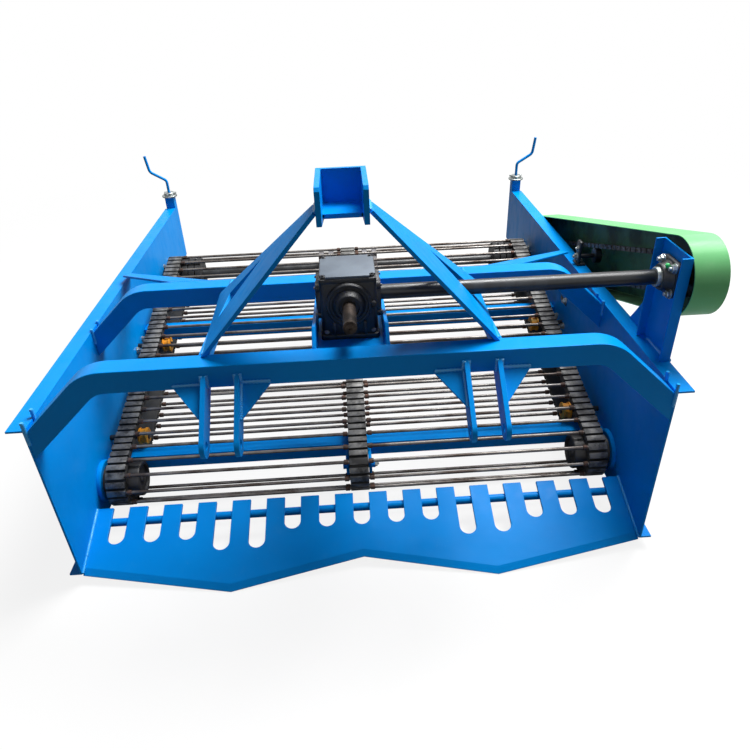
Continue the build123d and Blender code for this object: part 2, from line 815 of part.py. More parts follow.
# Rods of the web, a loop of round bars across the machine
with BuildPart() as web_rods:
    for rod_y, rod_z, turn in rod_places():
        with BuildSketch(Plane.YZ.offset(-belt_outer_x)):
            with Locations((rod_y, rod_z)):
                RegularPolygon(rod_radius, rod_sides)
        extrude(amount=2 * belt_outer_x)
save(web_rods.part, "web_rods")

# Belts that carry the rods, with a ridge between each two
belt_centres = {
    "left": -(belt_outer_x - belt_width / 2),
    "centre": 0.0,
    "right": belt_outer_x - belt_width / 2,
}
for name, centre_x in belt_centres.items():
    with BuildPart() as web_belt:
        with BuildSketch(Plane.YZ.offset(centre_x - belt_width / 2)):
            with Locations((nose_y, nose_z), (drive_y, drive_z)):
                Circle(wheel_radius + belt_thickness)
            make_hull()
            with BuildSketch(mode=Mode.PRIVATE) as belt_inside:
                with Locations((nose_y, nose_z), (drive_y, drive_z)):
                    Circle(wheel_radius)
                make_hull()
            add(belt_inside.sketch, mode=Mode.SUBTRACT)
        extrude(amount=belt_width)
        with BuildSketch(Plane.YZ.offset(centre_x - belt_width / 2)):
            for place_y, place_z, turn in rod_places(0.5):
                with Locations(Location((place_y, place_z), math.degrees(turn))):
                    Rectangle(cleat_height + rod_radius, cleat_length)
        extrude(amount=belt_width)
    save(web_belt.part, f"web_belt_{name}")

# Nose wheels that turn the web at the front, each on a boss on its side plate
with BuildPart() as nose_wheels:
    for side, sign in sides:
        with BuildSketch(Plane.YZ.offset(sign * plate_in_x)):
            with Locations((nose_y, nose_z)):
                RegularPolygon(nose_boss_radius, drum_sides)
        extrude(amount=sign * (belt_outer_x - plate_in_x))
        with BuildSketch(Plane.YZ.offset(sign * belt_outer_x)):
            with Locations((nose_y, nose_z)):
                RegularPolygon(wheel_radius - rod_seat, drum_sides)
        extrude(amount=-sign * belt_width)
save(nose_wheels.part, "nose_wheels")

member_front_y = plate_front_y + front_member_y - member_size / 2
with BuildPart() as centre_nose_wheel:
    with BuildSketch(Plane.YZ.offset(-belt_width / 2)):
        with Locations((nose_y, nose_z)):
            RegularPolygon(wheel_radius - rod_seat, drum_sides)
    extrude(amount=belt_width)
    with BuildSketch(Plane.YZ.offset(belt_width / 2)):
        with BuildLine():
            Polyline(
                (nose_y - fork_half, nose_z - fork_half),
                (nose_y - fork_half, nose_z + fork_half),
                (member_front_y, plate_bottom_z + front_member_rise + member_size / 2),
                (member_front_y, plate_bottom_z + front_member_rise - member_size / 2),
                close=True,
            )
        make_face()
    extrude(amount=fork_thickness)
save(centre_nose_wheel.part, "nose_wheel_centre")

# Rear drive shaft with a toothed drum under each belt
with BuildPart() as web_drive_shaft:
    with BuildSketch(Plane.YZ.offset(-plate_out_x - drive_shaft_stub)):
        with Locations((drive_y, drive_z)):
            RegularPolygon(drive_shaft_radius, shaft_sides)
    extrude(amount=2 * (plate_out_x + drive_shaft_stub))
    with BuildSketch(Plane.YZ.offset(plate_out_x + drive_shaft_stub)):
        with Locations((drive_y, drive_z)):
            RegularPolygon(drive_end_radius, shaft_sides)
    extrude(amount=chain_x + shaft_past_chain - plate_out_x - drive_shaft_stub)
    for centre_x in belt_centres.values():
        with BuildSketch(Plane.YZ.offset(centre_x - drum_width / 2)):
            with Locations((drive_y, drive_z)):
                RegularPolygon(wheel_radius - rod_seat, drum_sides)
        extrude(amount=drum_width)
    for centre_x, width in (
        (-inner_drum_x, inner_drum_width),
        (-centre_block_x, centre_block_width),
        (centre_block_x, centre_block_width),
        (inner_drum_x, inner_drum_width),
    ):
        with BuildSketch(Plane.YZ.offset(centre_x - width / 2)):
            with Locations((drive_y, drive_z)):
                RegularPolygon(wheel_radius + belt_thickness - rod_seat, drum_sides)
        extrude(amount=width)
save(web_drive_shaft.part, "web_drive_shaft")

# Bearing plates of the rear drive shaft, outside the side plates
with BuildPart() as drive_bearings:
    for side, sign in sides:
        with BuildSketch(Plane.YZ.offset(sign * plate_out_x)):
            with Locations((drive_y, drive_z)):
                RegularPolygon(drive_bearing_radius, drive_bearing_sides, rotation=22.5)
                RegularPolygon(drive_shaft_radius, shaft_sides, mode=Mode.SUBTRACT)
        extrude(amount=sign * drive_bearing_thickness)
save(drive_bearings.part, "drive_bearings")

# Square cross members between the runs of the web
with BuildPart() as cross_members:
    for member_y, member_rise in (
        (front_member_y, front_member_rise),
        (rear_member_y, rear_member_rise),
    ):
        with BuildSketch(Plane.YZ.offset(-plate_in_x)):
            with Locations((plate_front_y + member_y, plate_bottom_z + member_rise)):
                Rectangle(member_size, member_size)
                Rectangle(
                    member_size - 2 * member_wall, member_size - 2 * member_wall, mode=Mode.SUBTRACT
                )
        extrude(amount=inner_width)
save(cross_members.part, "cross_members")

# Rollers that carry the top run, on pins from the side plates
with BuildPart() as support_rollers:
    for side, sign in sides:
        for place in roller_places:
            along = (place - nose_y) / math.cos(web_rise)
            rod_y, rod_z, turn = web_point(along, rod_ring - rod_radius - roller_radius - rod_seat)
            with BuildSketch(Plane.YZ.offset(sign * (roller_x - roller_width / 2))):
                with Locations((rod_y, rod_z)):
                    RegularPolygon(roller_radius, shaft_sides)
            extrude(amount=sign * roller_width)
            with BuildSketch(Plane.YZ.offset(sign * (roller_x + roller_width / 2))):
                with Locations((rod_y, rod_z)):
                    RegularPolygon(roller_pin_radius, pin_sides)
            extrude(amount=sign * (plate_in_x - roller_x - roller_width / 2))
save(support_rollers.part, "support_rollers")

# Flat braces that slope from the back of the rear beam down to the side plates
brace_start_y = rear_beam_y + beam_size
brace_end_y = plate_front_y + brace_rear_y
with BuildPart() as braces:
    with BuildSketch(Plane.XY.offset(plate_bottom_z)):
        for side, sign in sides:
            with BuildLine():
                Polyline(
                    (sign * brace_foot_inner_x, brace_start_y),
                    (sign * brace_foot_outer_x, brace_start_y),
                    (sign * plate_in_x, plate_front_y + brace_front_y),
                    (sign * plate_in_x, brace_end_y),
                    close=True,
                )
            make_face()
    extrude(amount=beam_top_z - plate_bottom_z)
    with BuildSketch(Plane.YZ.offset(-plate_in_x)):
        with BuildLine():
            Polyline(
                (brace_start_y, rear_beam_top_z),
                (brace_end_y, rear_beam_top_z - (brace_end_y - brace_start_y) * brace_fall),
                (brace_end_y, rear_beam_top_z - (brace_end_y - brace_start_y) * brace_fall - brace_thickness),
                (brace_start_y, rear_beam_top_z - brace_thickness),
                close=True,
            )
        make_face()
    extrude(amount=inner_width, mode=Mode.INTERSECT)
save(braces.part, "braces")

# Adjuster collars and cranks on top of the two posts
post_top_z = plate_bottom_z + post_top_rise
crank_base_z = post_top_z + collar_height + collar_cap_height
with BuildPart() as adjuster_collars:
    for side, sign in sides:
        with BuildSketch(Plane.XY.offset(post_top_z)):
            with Locations((sign * post_x, post_y)):
                RegularPolygon(collar_radius, drum_sides)
        extrude(amount=collar_height)
        with BuildSketch(Plane.XY.offset(post_top_z + collar_height)):
            with Locations((sign * post_x, post_y)):
                RegularPolygon(collar_cap_radius, shaft_sides)
        extrude(amount=collar_cap_height)
save(adjuster_collars.part, "adjuster_collars")

with BuildPart() as cranks:
    for side, sign in sides:
        with BuildLine() as crank_path:
            FilletPolyline(
                *[
                    (sign * (post_x + reach), post_y, crank_base_z + rise)
                    for reach, rise in crank_points
                ],
                radius=crank_bend,
            )
        with BuildSketch(Plane(origin=crank_path.line @ 0, z_dir=crank_path.line % 0)):
            RegularPolygon(crank_radius, crank_sides)
        sweep(path=crank_path.line)
save(cranks.part, "cranks")

# Depth wheels: a post on each plate, a sliding leg with its spindle, and a wheel
for side, sign in sides:
    with BuildPart() as post:
        with BuildSketch(Plane.XY.offset(plate_bottom_z + post_bottom_rise)):
            with Locations((sign * post_x, post_y)):
                Rectangle(post_size, post_size)
                Rectangle(post_size - 2 * post_wall, post_size - 2 * post_wall, mode=Mode.SUBTRACT)
        extrude(amount=post_top_rise - post_bottom_rise)
    save(post.part, f"post_{side}")

    leg_size = post_size - 2 * post_wall - 2 * slide_gap
    hub_end_x = wheel_inner_x + (tyre_width + wheel_hub_width) / 2
    hub_start_x = hub_end_x - wheel_hub_width
    with BuildPart() as wheel_leg:
        with BuildSketch(Plane.XY.offset(axle_z - leg_size / 2)):
            with Locations((sign * post_x, post_y)):
                Rectangle(leg_size, leg_size)
        extrude(amount=plate_bottom_z + leg_top_rise_inside - axle_z + leg_size / 2)
        with BuildSketch(Plane.YZ.offset(sign * post_x)):
            with Locations((post_y, axle_z)):
                RegularPolygon(axle_stub_radius, shaft_sides)
        extrude(amount=sign * (hub_start_x - wheel_end_play - post_x))
        with BuildSketch(Plane.YZ.offset(sign * (hub_start_x - wheel_end_play))):
            with Locations((post_y, axle_z)):
                Circle(spindle_radius)
        extrude(amount=sign * (wheel_hub_width + 2 * wheel_end_play))
        with BuildSketch(Plane.YZ.offset(sign * (hub_end_x + wheel_end_play))):
            with Locations((post_y, axle_z)):
                RegularPolygon(washer_radius, shaft_sides)
        extrude(amount=sign * washer_thickness)
    save(wheel_leg.part, f"wheel_leg_{side}")

    wheel_middle_x = sign * (wheel_inner_x + tyre_width / 2)
    with BuildPart() as wheel_rim:
        for start, width, outer in (
            (-rim_width / 2, rim_width, rim_radius),
            (-rim_width / 2, rim_wall, rim_radius + rim_flange),
            (rim_width / 2 - rim_wall, rim_wall, rim_radius + rim_flange),
        ):
            with BuildSketch(Plane.YZ.offset(wheel_middle_x + start)):
                with Locations((post_y, axle_z)):
                    RegularPolygon(outer, wheel_sides)
            extrude(amount=width)
        with BuildSketch(Plane.YZ.offset(wheel_middle_x - rim_width / 2)):
            with Locations((post_y, axle_z)):
                RegularPolygon(rim_radius - rim_wall, wheel_sides)
        extrude(amount=rim_width, mode=Mode.SUBTRACT)
        with BuildSketch(Plane.YZ.offset(wheel_middle_x - rim_disc_half)):
            with Locations((post_y, axle_z)):
                RegularPolygon(rim_radius - rim_wall / 2, wheel_sides)
        extrude(amount=2 * rim_disc_half)
        with BuildSketch(Plane.YZ.offset(wheel_middle_x - wheel_hub_width / 2)):
            with Locations((post_y, axle_z)):
                RegularPolygon(wheel_hub_radius, drum_sides)
        extrude(amount=wheel_hub_width)
        with BuildSketch(Plane.YZ.offset(wheel_middle_x - wheel_hub_width / 2)):
            with Locations((post_y, axle_z)):
                Circle(spindle_radius + spindle_gap)
        extrude(amount=wheel_hub_width, mode=Mode.SUBTRACT)
    save(wheel_rim.part, f"wheel_rim_{side}")

    with BuildPart() as tyre:
        for (across, depth), (next_across, next_depth) in zip(tyre_profile, tyre_profile[1:]):
            with BuildSketch(Plane.YZ.offset(wheel_middle_x + across)):
                with Locations((post_y, axle_z)):
                    RegularPolygon(tyre_radius - depth, wheel_sides)
            with BuildSketch(Plane.YZ.offset(wheel_middle_x + next_across)):
                with Locations((post_y, axle_z)):
                    RegularPolygon(tyre_radius - next_depth, wheel_sides)
            loft(ruled=True)
        with BuildSketch(Plane.YZ.offset(wheel_middle_x - tyre_width / 2)):
            with Locations((post_y, axle_z)):
                RegularPolygon(rim_radius, wheel_sides)
        extrude(amount=tyre_width, mode=Mode.SUBTRACT)
        for end in (-1, 1):
            with BuildSketch(Plane.YZ.offset(wheel_middle_x + end * (rim_width / 2 - rim_wall))):
                with Locations((post_y, axle_z)):
                    RegularPolygon(rim_radius + tyre_bead, wheel_sides)
            with BuildSketch(Plane.YZ.offset(wheel_middle_x + end * tyre_width / 2)):
                with Locations((post_y, axle_z)):
                    RegularPolygon(tyre_radius - tyre_profile[0][1], wheel_sides)
            loft(ruled=True, mode=Mode.SUBTRACT)
    save(tyre.part, f"tyre_{side}")
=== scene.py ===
import bpy
import math
import random
from mathutils import Matrix, Vector


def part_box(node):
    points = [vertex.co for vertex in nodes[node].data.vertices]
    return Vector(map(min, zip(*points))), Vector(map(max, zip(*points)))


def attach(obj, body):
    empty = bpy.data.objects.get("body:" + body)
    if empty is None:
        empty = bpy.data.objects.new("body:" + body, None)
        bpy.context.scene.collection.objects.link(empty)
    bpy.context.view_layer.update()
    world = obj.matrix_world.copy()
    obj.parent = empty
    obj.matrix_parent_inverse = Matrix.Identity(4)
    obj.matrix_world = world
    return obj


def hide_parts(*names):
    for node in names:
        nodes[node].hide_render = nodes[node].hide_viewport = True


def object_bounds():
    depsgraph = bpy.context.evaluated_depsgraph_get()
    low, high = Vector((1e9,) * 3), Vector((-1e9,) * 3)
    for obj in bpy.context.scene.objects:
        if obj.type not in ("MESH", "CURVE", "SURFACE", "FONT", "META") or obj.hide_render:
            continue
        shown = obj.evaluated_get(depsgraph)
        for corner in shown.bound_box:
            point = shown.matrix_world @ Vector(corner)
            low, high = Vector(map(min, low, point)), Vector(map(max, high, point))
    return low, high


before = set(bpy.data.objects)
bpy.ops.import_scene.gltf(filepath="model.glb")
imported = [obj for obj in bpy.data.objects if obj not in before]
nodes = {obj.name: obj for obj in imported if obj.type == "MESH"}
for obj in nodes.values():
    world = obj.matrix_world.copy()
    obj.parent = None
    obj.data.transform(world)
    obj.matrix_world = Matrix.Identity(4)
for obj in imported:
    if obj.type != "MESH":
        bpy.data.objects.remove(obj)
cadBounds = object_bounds()
random.seed(11)
print("frame loaded with", len(nodes), "nodes")

# the photograph's viewpoint, in metres and radians
cameraPlace = {"at": (0.0104, -1.3513, 0.7134), "yaw": 0.033, "pitch": 0.56, "roll": -0.0408, "lens": 30.71}
studio = {"floorSize": 400.0, "floorColour": "#8C8C8B", "keySize": 2.6, "keyAt": (1.7, 2.3, 5.0),
          "keyPower": 520.0, "topSize": 3.0, "topAt": (3.4, 1.4, 4.0), "topPower": 230.0,
          "skyDiffuse": 0.13}


def linear(hexColour):
    parts = [int(hexColour[i:i + 2], 16) / 255 for i in (1, 3, 5)]
    return tuple(p / 12.92 if p <= 0.04045 else ((p + 0.055) / 1.055) ** 2.4 for p in parts) + (1.0,)


def addNode(tree, kind, values=None, links=None, **settings):
    node = tree.nodes.new(kind)
    for key, value in settings.items():
        setattr(node, key, value)
    for key, value in (values or {}).items():
        node.inputs[key].default_value = value
    for key, source in (links or {}).items():
        tree.links.new(source, node.inputs[key])
    return node


def newMaterial(name):
    material = bpy.data.materials.new(name)
    material.use_nodes = True
    tree = material.node_tree
    shader = tree.nodes["Principled BSDF"]
    place = addNode(tree, "ShaderNodeTexCoord")
    return material, tree, shader, place.outputs["Object"]


# low, so that the white sky doesn't veil the paint's colour
enamelSpecular = 0.08


# alkyd enamel sprayed on sheet steel: even and glossy, a little dusty, with a faint orange peel
def makeEnamel(name, main, faded, dust, roughness, coat):
    material, tree, shader, place = newMaterial(name)
    # paint clouds of about 300 mm
    clouds = addNode(tree, "ShaderNodeTexNoise", {"Scale": 3.2, "Detail": 4.0, "Roughness": 0.55},
                     {"Vector": place})
    cloudShare = addNode(tree, "ShaderNodeMapRange", {"From Min": 0.38, "From Max": 0.72},
                         {"Value": clouds.outputs["Fac"]})
    tone = addNode(tree, "ShaderNodeMix", {"A": linear(main), "B": linear(faded)},
                   {"Factor": cloudShare.outputs["Result"]}, data_type="RGBA")
    # a dusty film in patches of about 40 mm, drawn out upright
    streaks = addNode(tree, "ShaderNodeMapping", {"Scale": (4.0, 4.0, 1.8)}, {"Vector": place})
    film = addNode(tree, "ShaderNodeTexNoise", {"Scale": 6.0, "Detail": 6.0, "Roughness": 0.62},
                   {"Vector": streaks.outputs["Vector"]})
    filmShare = addNode(tree, "ShaderNodeMapRange", {"From Min": 0.58, "From Max": 0.86, "To Max": 0.12},
                        {"Value": film.outputs["Fac"]})
    dusty = addNode(tree, "ShaderNodeMix", {"B": linear(dust)},
                    {"A": tone.outputs["Result"], "Factor": filmShare.outputs["Result"]}, data_type="RGBA")
    # dust specks of about 7 mm
    specks = addNode(tree, "ShaderNodeTexNoise", {"Scale": 140.0, "Detail": 3.0}, {"Vector": place})
    speckShare = addNode(tree, "ShaderNodeMapRange", {"From Min": 0.70, "From Max": 0.76, "To Max": 0.30},
                         {"Value": specks.outputs["Fac"]})
    marked = addNode(tree, "ShaderNodeMix", {"B": linear(dust)},
                     {"A": dusty.outputs["Result"], "Factor": speckShare.outputs["Result"]},
                     data_type="RGBA")
    tree.links.new(marked.outputs["Result"], shader.inputs["Base Color"])
    # the film dulls the gloss where it lies
    gloss = addNode(tree, "ShaderNodeMapRange",
                    {"From Min": 0.45, "From Max": 0.8, "To Min": roughness, "To Max": roughness + 0.22},
                    {"Value": film.outputs["Fac"]})
    tree.links.new(gloss.outputs["Result"], shader.inputs["Roughness"])
    # orange peel of 4 mm over sheet that isn't quite flat
    peel = addNode(tree, "ShaderNodeTexNoise", {"Scale": 260.0, "Detail": 2.0}, {"Vector": place})
    waves = addNode(tree, "ShaderNodeTexNoise", {"Scale": 9.0, "Detail": 2.0}, {"Vector": place})
    low = addNode(tree, "ShaderNodeBump", {"Strength": 0.16, "Distance": 0.012},
                  {"Height": waves.outputs["Fac"]})
    fine = addNode(tree, "ShaderNodeBump", {"Strength": 0.10, "Distance": 0.001},
                   {"Height": peel.outputs["Fac"], "Normal": low.outputs["Normal"]})
    tree.links.new(fine.outputs["Normal"], shader.inputs["Normal"])
    shader.inputs["Coat Weight"].default_value = coat
    shader.inputs["Coat Roughness"].default_value = 0.2
    shader.inputs["Specular IOR Level"].default_value = enamelSpecular
    return material


# bare, cast or rubbed surfaces: a base tone, a second tone in patches, grain of a given size
# patchScale and grain count repeats in a metre: 20 gives patches of 50 mm, and 400 a grain of 2.5 mm
def makeSurface(name, main, patch, patchScale, patchShare, metallic, roughness, grain, grainDepth):
    material, tree, shader, place = newMaterial(name)
    clouds = addNode(tree, "ShaderNodeTexNoise", {"Scale": patchScale, "Detail": 5.0, "Roughness": 0.6},
                     {"Vector": place})
    mask = addNode(tree, "ShaderNodeMapRange",
                   {"From Min": 0.62 - patchShare * 0.4, "From Max": 0.74 - patchShare * 0.25},
                   {"Value": clouds.outputs["Fac"]})
    tone = addNode(tree, "ShaderNodeMix", {"A": linear(main), "B": linear(patch)},
                   {"Factor": mask.outputs["Result"]}, data_type="RGBA")
    tree.links.new(tone.outputs["Result"], shader.inputs["Base Color"])
    shader.inputs["Metallic"].default_value = metallic
    sheen = addNode(tree, "ShaderNodeMapRange",
                    {"From Min": 0.35, "From Max": 0.75, "To Min": roughness,
                     "To Max": min(1.0, roughness + 0.2)},
                    {"Value": clouds.outputs["Fac"]})
    tree.links.new(sheen.outputs["Result"], shader.inputs["Roughness"])
    pits = addNode(tree, "ShaderNodeTexNoise", {"Scale": grain, "Detail": 4.0, "Roughness": 0.6},
                   {"Vector": place})
    bump = addNode(tree, "ShaderNodeBump", {"Strength": 0.5, "Distance": grainDepth},
                   {"Height": pits.outputs["Fac"]})
    tree.links.new(bump.outputs["Normal"], shader.inputs["Normal"])
    return material


materials = {
    # clean bright blue paint that turns the light softly along its rounded edges
    "blueEnamel": makeEnamel("blueEnamel", "#0085D8", "#008FE4", "#3F9FDA", 0.30, 0.0),
    # pale green paint of the guard, a little dusty
    "greenEnamel": makeEnamel("greenEnamel", "#6CB977", "#79C685", "#B9CDB0", 0.34, 0.2),
    # the same paint pooled glossy over the weld beads, its paler blue a painted highlight so they catch the
    # light
    "weldPaintedHighlight": makeEnamel("weldPaintedHighlight", "#1B9BE8", "#5ABDF2", "#A0D6F2", 0.12, 0.6),
    # smooth black paint on shafts and pins
    "blackEnamel": makeSurface("blackEnamel", "#15171A", "#2A2D31", 14.0, 0.3, 0.0, 0.28, 300.0, 0.0006),
    # black paint over coarse cast iron, which breaks the shine up
    "blackCasting": makeSurface("blackCasting", "#121316", "#24262A", 22.0, 0.4, 0.0, 0.36, 420.0, 0.0016),
    # blue-grey painted lid that stands off the black box
    "coverPlate": makeSurface("coverPlate", "#525B66", "#5E6872", 8.0, 0.4, 0.2, 0.45, 500.0, 0.0004),
    # bare grey rod with brown heat scale in patches
    "millSteelRod": makeSurface("millSteelRod", "#7C7874", "#483E38", 7.0, 0.45, 0.7, 0.30, 200.0, 0.0006),
    # dark brown greased steel of the splined end
    "shaftSteel": makeSurface("shaftSteel", "#4A4039", "#221C18", 40.0, 0.5, 0.7, 0.42, 400.0, 0.0006),
    # bright plating with dull spots on bolts and discs
    "zincPlate": makeSurface("zincPlate", "#A9AEAE", "#7F8480", 60.0, 0.4, 0.9, 0.32, 600.0, 0.0003),
    # matt black rubber with dusty patches
    "beltRubber": makeSurface("beltRubber", "#161616", "#2B2A28", 18.0, 0.4, 0.0, 0.62, 350.0, 0.0012),
    # rubber rubbed grey on the belts' outermost faces
    "wornRidge": makeSurface("wornRidge", "#6E6D6A", "#232221", 26.0, 0.55, 0.1, 0.45, 350.0, 0.0012),
    # dull charcoal rubber with earth dust
    "tyreRubber": makeSurface("tyreRubber", "#1B1B1B", "#343230", 12.0, 0.35, 0.0, 0.7, 260.0, 0.0014),
    # orange rollers gone brown with soil
    "orangePlastic": makeSurface("orangePlastic", "#D88A12", "#7B6A22", 30.0, 0.45, 0.0, 0.5, 300.0, 0.0008),
    # one small bright green spot on the bearing
    "greenCap": makeSurface("greenCap", "#2FD36B", "#25B85B", 50.0, 0.3, 0.0, 0.35, 300.0, 0.0003),
    # smooth moulded black of the drums
    "blackRubberWheel": makeSurface("blackRubberWheel", "#121214", "#26262A", 16.0, 0.4, 0.0, 0.42, 300.0,
                                    0.0008),
    # rust-brown pressed collars on the rods
    "collarSteel": makeSurface("collarSteel", "#3B322D", "#5A4034", 60.0, 0.5, 0.5, 0.5, 400.0, 0.0008),
    # bare grey iron with rust bloom on the inner drums
    "castGrey": makeSurface("castGrey", "#77767A", "#4A4038", 20.0, 0.45, 0.35, 0.5, 300.0, 0.0012),
    # dulled bolt heads on the gearbox
    "greyBolt": makeSurface("greyBolt", "#6B6F75", "#474B50", 40.0, 0.4, 0.5, 0.45, 400.0, 0.0004),
    # painted shade: a darker green for the guard's inner faces, where the shade falls inside it
    "guardPaintedShade": makeSurface("guardPaintedShade", "#35663F", "#1A3322", 9.0, 0.45, 0.0, 0.5, 120.0, 0.0012),
    # oiled dark chain with brighter plates
    "chainSteel": makeSurface("chainSteel", "#5E5A55", "#2E2823", 60.0, 0.5, 0.8, 0.36, 500.0, 0.0006),
}
print("materials made")


def clearSelection():
    if bpy.context.object and bpy.context.object.mode != "OBJECT":
        bpy.ops.object.mode_set(mode="OBJECT")
    bpy.ops.object.select_all(action="DESELECT")


def activate(piece):
    clearSelection()
    piece.select_set(True)
    bpy.context.view_layer.objects.active = piece


def applyModifiers(piece):
    activate(piece)
    for modifier in list(piece.modifiers):
        bpy.ops.object.modifier_apply(modifier=modifier.name)


# flat faces stay flat and only the rounded edges turn the light
def evenShading(piece):
    activate(piece)
    modifier = piece.modifiers.new("shading", "WEIGHTED_NORMAL")
    modifier.keep_sharp = True
    modifier.weight = 80
    applyModifiers(piece)


def roundEdges(piece, width, segments=2, angle=32):
    bevel = piece.modifiers.new("edges", "BEVEL")
    bevel.width = width
    bevel.segments = segments
    bevel.limit_method = "ANGLE"
    bevel.angle_limit = math.radians(angle)
    bevel.use_clamp_overlap = True
    applyModifiers(piece)


def settle(piece, name, finish, body="frame", smooth=35):
    activate(piece)
    bpy.ops.object.transform_apply(location=True, rotation=True, scale=True)
    piece.name = name
    piece.data.name = name
    bpy.ops.object.shade_smooth_by_angle(angle=math.radians(smooth))
    piece.data.materials.clear()
    piece.data.materials.append(materials[finish])
    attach(piece, body)
    return piece


# a copy of a plain solid with its loose faces joined and its edges rounded, which it then replaces
def roundedCopy(nodeName, name, finish, width, segments=2, body="frame", smooth=35):
    source = nodes[nodeName]
    piece = bpy.data.objects.new(name, source.data.copy())
    bpy.context.scene.collection.objects.link(piece)
    piece.matrix_world = source.matrix_world.copy()
    activate(piece)
    bpy.ops.object.mode_set(mode="EDIT")
    bpy.ops.mesh.select_all(action="SELECT")
    bpy.ops.mesh.remove_doubles(threshold=0.00002)
    bpy.ops.mesh.dissolve_limited(angle_limit=math.radians(0.8))
    bpy.ops.object.mode_set(mode="OBJECT")
    roundEdges(piece, width, segments)
    settle(piece, name, finish, body, smooth)
    evenShading(piece)
    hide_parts(nodeName)
    return piece


def finishNode(nodeName, finish):
    node = nodes[nodeName]
    node.data.materials.clear()
    node.data.materials.append(materials[finish])


# the camera stands where the photograph was taken from
def placeCamera(values):
    yaw, pitch, roll = values["yaw"], values["pitch"], values["roll"]
    forward = Vector((math.sin(yaw) * math.cos(pitch), math.cos(yaw) * math.cos(pitch), -math.sin(pitch)))
    right = Vector((math.cos(yaw), -math.sin(yaw), 0))
    up = right.cross(forward)
    tiltedRight = right * math.cos(roll) + up * math.sin(roll)
    tiltedUp = -right * math.sin(roll) + up * math.cos(roll)
    turn = Matrix((tiltedRight, tiltedUp, -forward)).transposed().to_4x4()
    clearSelection()
    bpy.ops.object.camera_add()
    camera = bpy.context.object
    camera.name = "photoCamera"
    camera.data.lens = values["lens"]
    camera.data.sensor_width = 36.0
    camera.data.clip_end = 200.0
    camera.matrix_world = Matrix.Translation(Vector(values["at"])) @ turn
    bpy.context.scene.camera = camera


placeCamera(cameraPlace)


def addStudio(values):
    clearSelection()
    bpy.ops.mesh.primitive_plane_add(size=values["floorSize"], location=(0, 0, cadBounds[0][2]))
    floor = bpy.context.object
    floor.name = "floor"
    material, tree, shader, place = newMaterial("paleFloor")
    shader.inputs["Roughness"].default_value = 0.9
    shader.inputs["Specular IOR Level"].default_value = 0.0
    light = addNode(tree, "ShaderNodeLightPath")
    paint = addNode(tree, "ShaderNodeMix", {"A": linear(values["floorColour"]), "B": linear("#F8F8F7")},
                    {"Factor": light.outputs["Is Camera Ray"]}, data_type="RGBA")
    tree.links.new(paint.outputs["Result"], shader.inputs["Base Color"])
    glow = addNode(tree, "ShaderNodeEmission", {"Color": (1, 1, 1, 1), "Strength": 1.0})
    grain = addNode(tree, "ShaderNodeTexNoise", {"Scale": 40.0, "Detail": 3.0}, {"Vector": place})
    fleck = addNode(tree, "ShaderNodeBump", {"Strength": 0.05, "Distance": 0.001},
                    {"Height": grain.outputs["Fac"]})
    tree.links.new(fleck.outputs["Normal"], shader.inputs["Normal"])
    # the shadow stays near the machine and the rest is plain white
    reach = addNode(tree, "ShaderNodeVectorMath", {1: (0, 0.9, 0)}, {0: place}, operation="DISTANCE")
    fade = addNode(tree, "ShaderNodeMapRange",
                   {"From Min": 1.6, "From Max": 4.2, "To Min": 0.86, "To Max": 1.0},
                   {"Value": reach.outputs["Value"]})
    share = addNode(tree, "ShaderNodeMath",
                    links={0: light.outputs["Is Camera Ray"], 1: fade.outputs["Result"]},
                    operation="MULTIPLY")
    mixed = addNode(tree, "ShaderNodeMixShader",
                    links={0: share.outputs[0], 1: shader.outputs[0], 2: glow.outputs[0]})
    tree.links.new(mixed.outputs[0], tree.nodes["Material Output"].inputs["Surface"])
    floor.data.materials.append(material)

    world = bpy.data.worlds.new("studioSky")
    bpy.context.scene.world = world
    world.use_nodes = True
    sky = world.node_tree
    back = sky.nodes["Background"]
    rays = addNode(sky, "ShaderNodeLightPath")
    # the camera, metal and glass see plain white, and matt faces get a dim sky
    mirrored = addNode(sky, "ShaderNodeMath",
                       links={0: rays.outputs["Is Glossy Ray"], 1: rays.outputs["Is Transmission Ray"]},
                       operation="MAXIMUM")
    seen = addNode(sky, "ShaderNodeMath", links={0: rays.outputs["Is Camera Ray"], 1: mirrored.outputs[0]},
                   operation="MAXIMUM")
    strength = addNode(sky, "ShaderNodeMath", {1: 1.0 - values["skyDiffuse"], 2: values["skyDiffuse"]},
                       {0: seen.outputs[0]}, operation="MULTIPLY_ADD")
    sky.links.new(strength.outputs[0], back.inputs["Strength"])
    back.inputs["Color"].default_value = (1, 1, 1, 1)

    for label, size, at, power in (("keyLamp", values["keySize"], values["keyAt"], values["keyPower"]),
                                   ("topLamp", values["topSize"], values["topAt"], values["topPower"])):
        clearSelection()
        bpy.ops.object.light_add(type="AREA", location=at)
        lamp = bpy.context.object
        lamp.name = label
        lamp.data.size = size
        lamp.data.energy = power
        lamp.rotation_euler = (Vector((0, 0.5, -0.4)) - Vector(at)).to_track_quat("-Z", "Y").to_euler()


addStudio(studio)
bpy.context.scene.view_settings.view_transform = "Standard"
print("studio ready")

# blue sheet and tube work with rounded edges
sheetWork = {"side_plate_left": 0.0012, "side_plate_right": 0.0012, "front_arch_beam": 0.005,
             "rear_arch_beam": 0.005, "mast_leg_left": 0.0018, "mast_leg_right": 0.0018,
             "top_hitch_box": 0.002, "lower_hitch_left": 0.0018, "lower_hitch_right": 0.0018,
             "beam_ties": 0.001, "gearbox_cradle": 0.0018, "bearing_bracket": 0.0018, "braces": 0.0018,
             "digging_share": 0.0015, "post_left": 0.003, "post_right": 0.003, "cross_members": 0.004}


def addSheetWork(values):
    for nodeName, width in values.items():
        roundedCopy(nodeName, nodeName + "_sheet", "blueEnamel", width,
                    smooth=14 if nodeName == "digging_share" else 35)
    print("blue sheet work rounded")


addSheetWork(sheetWork)


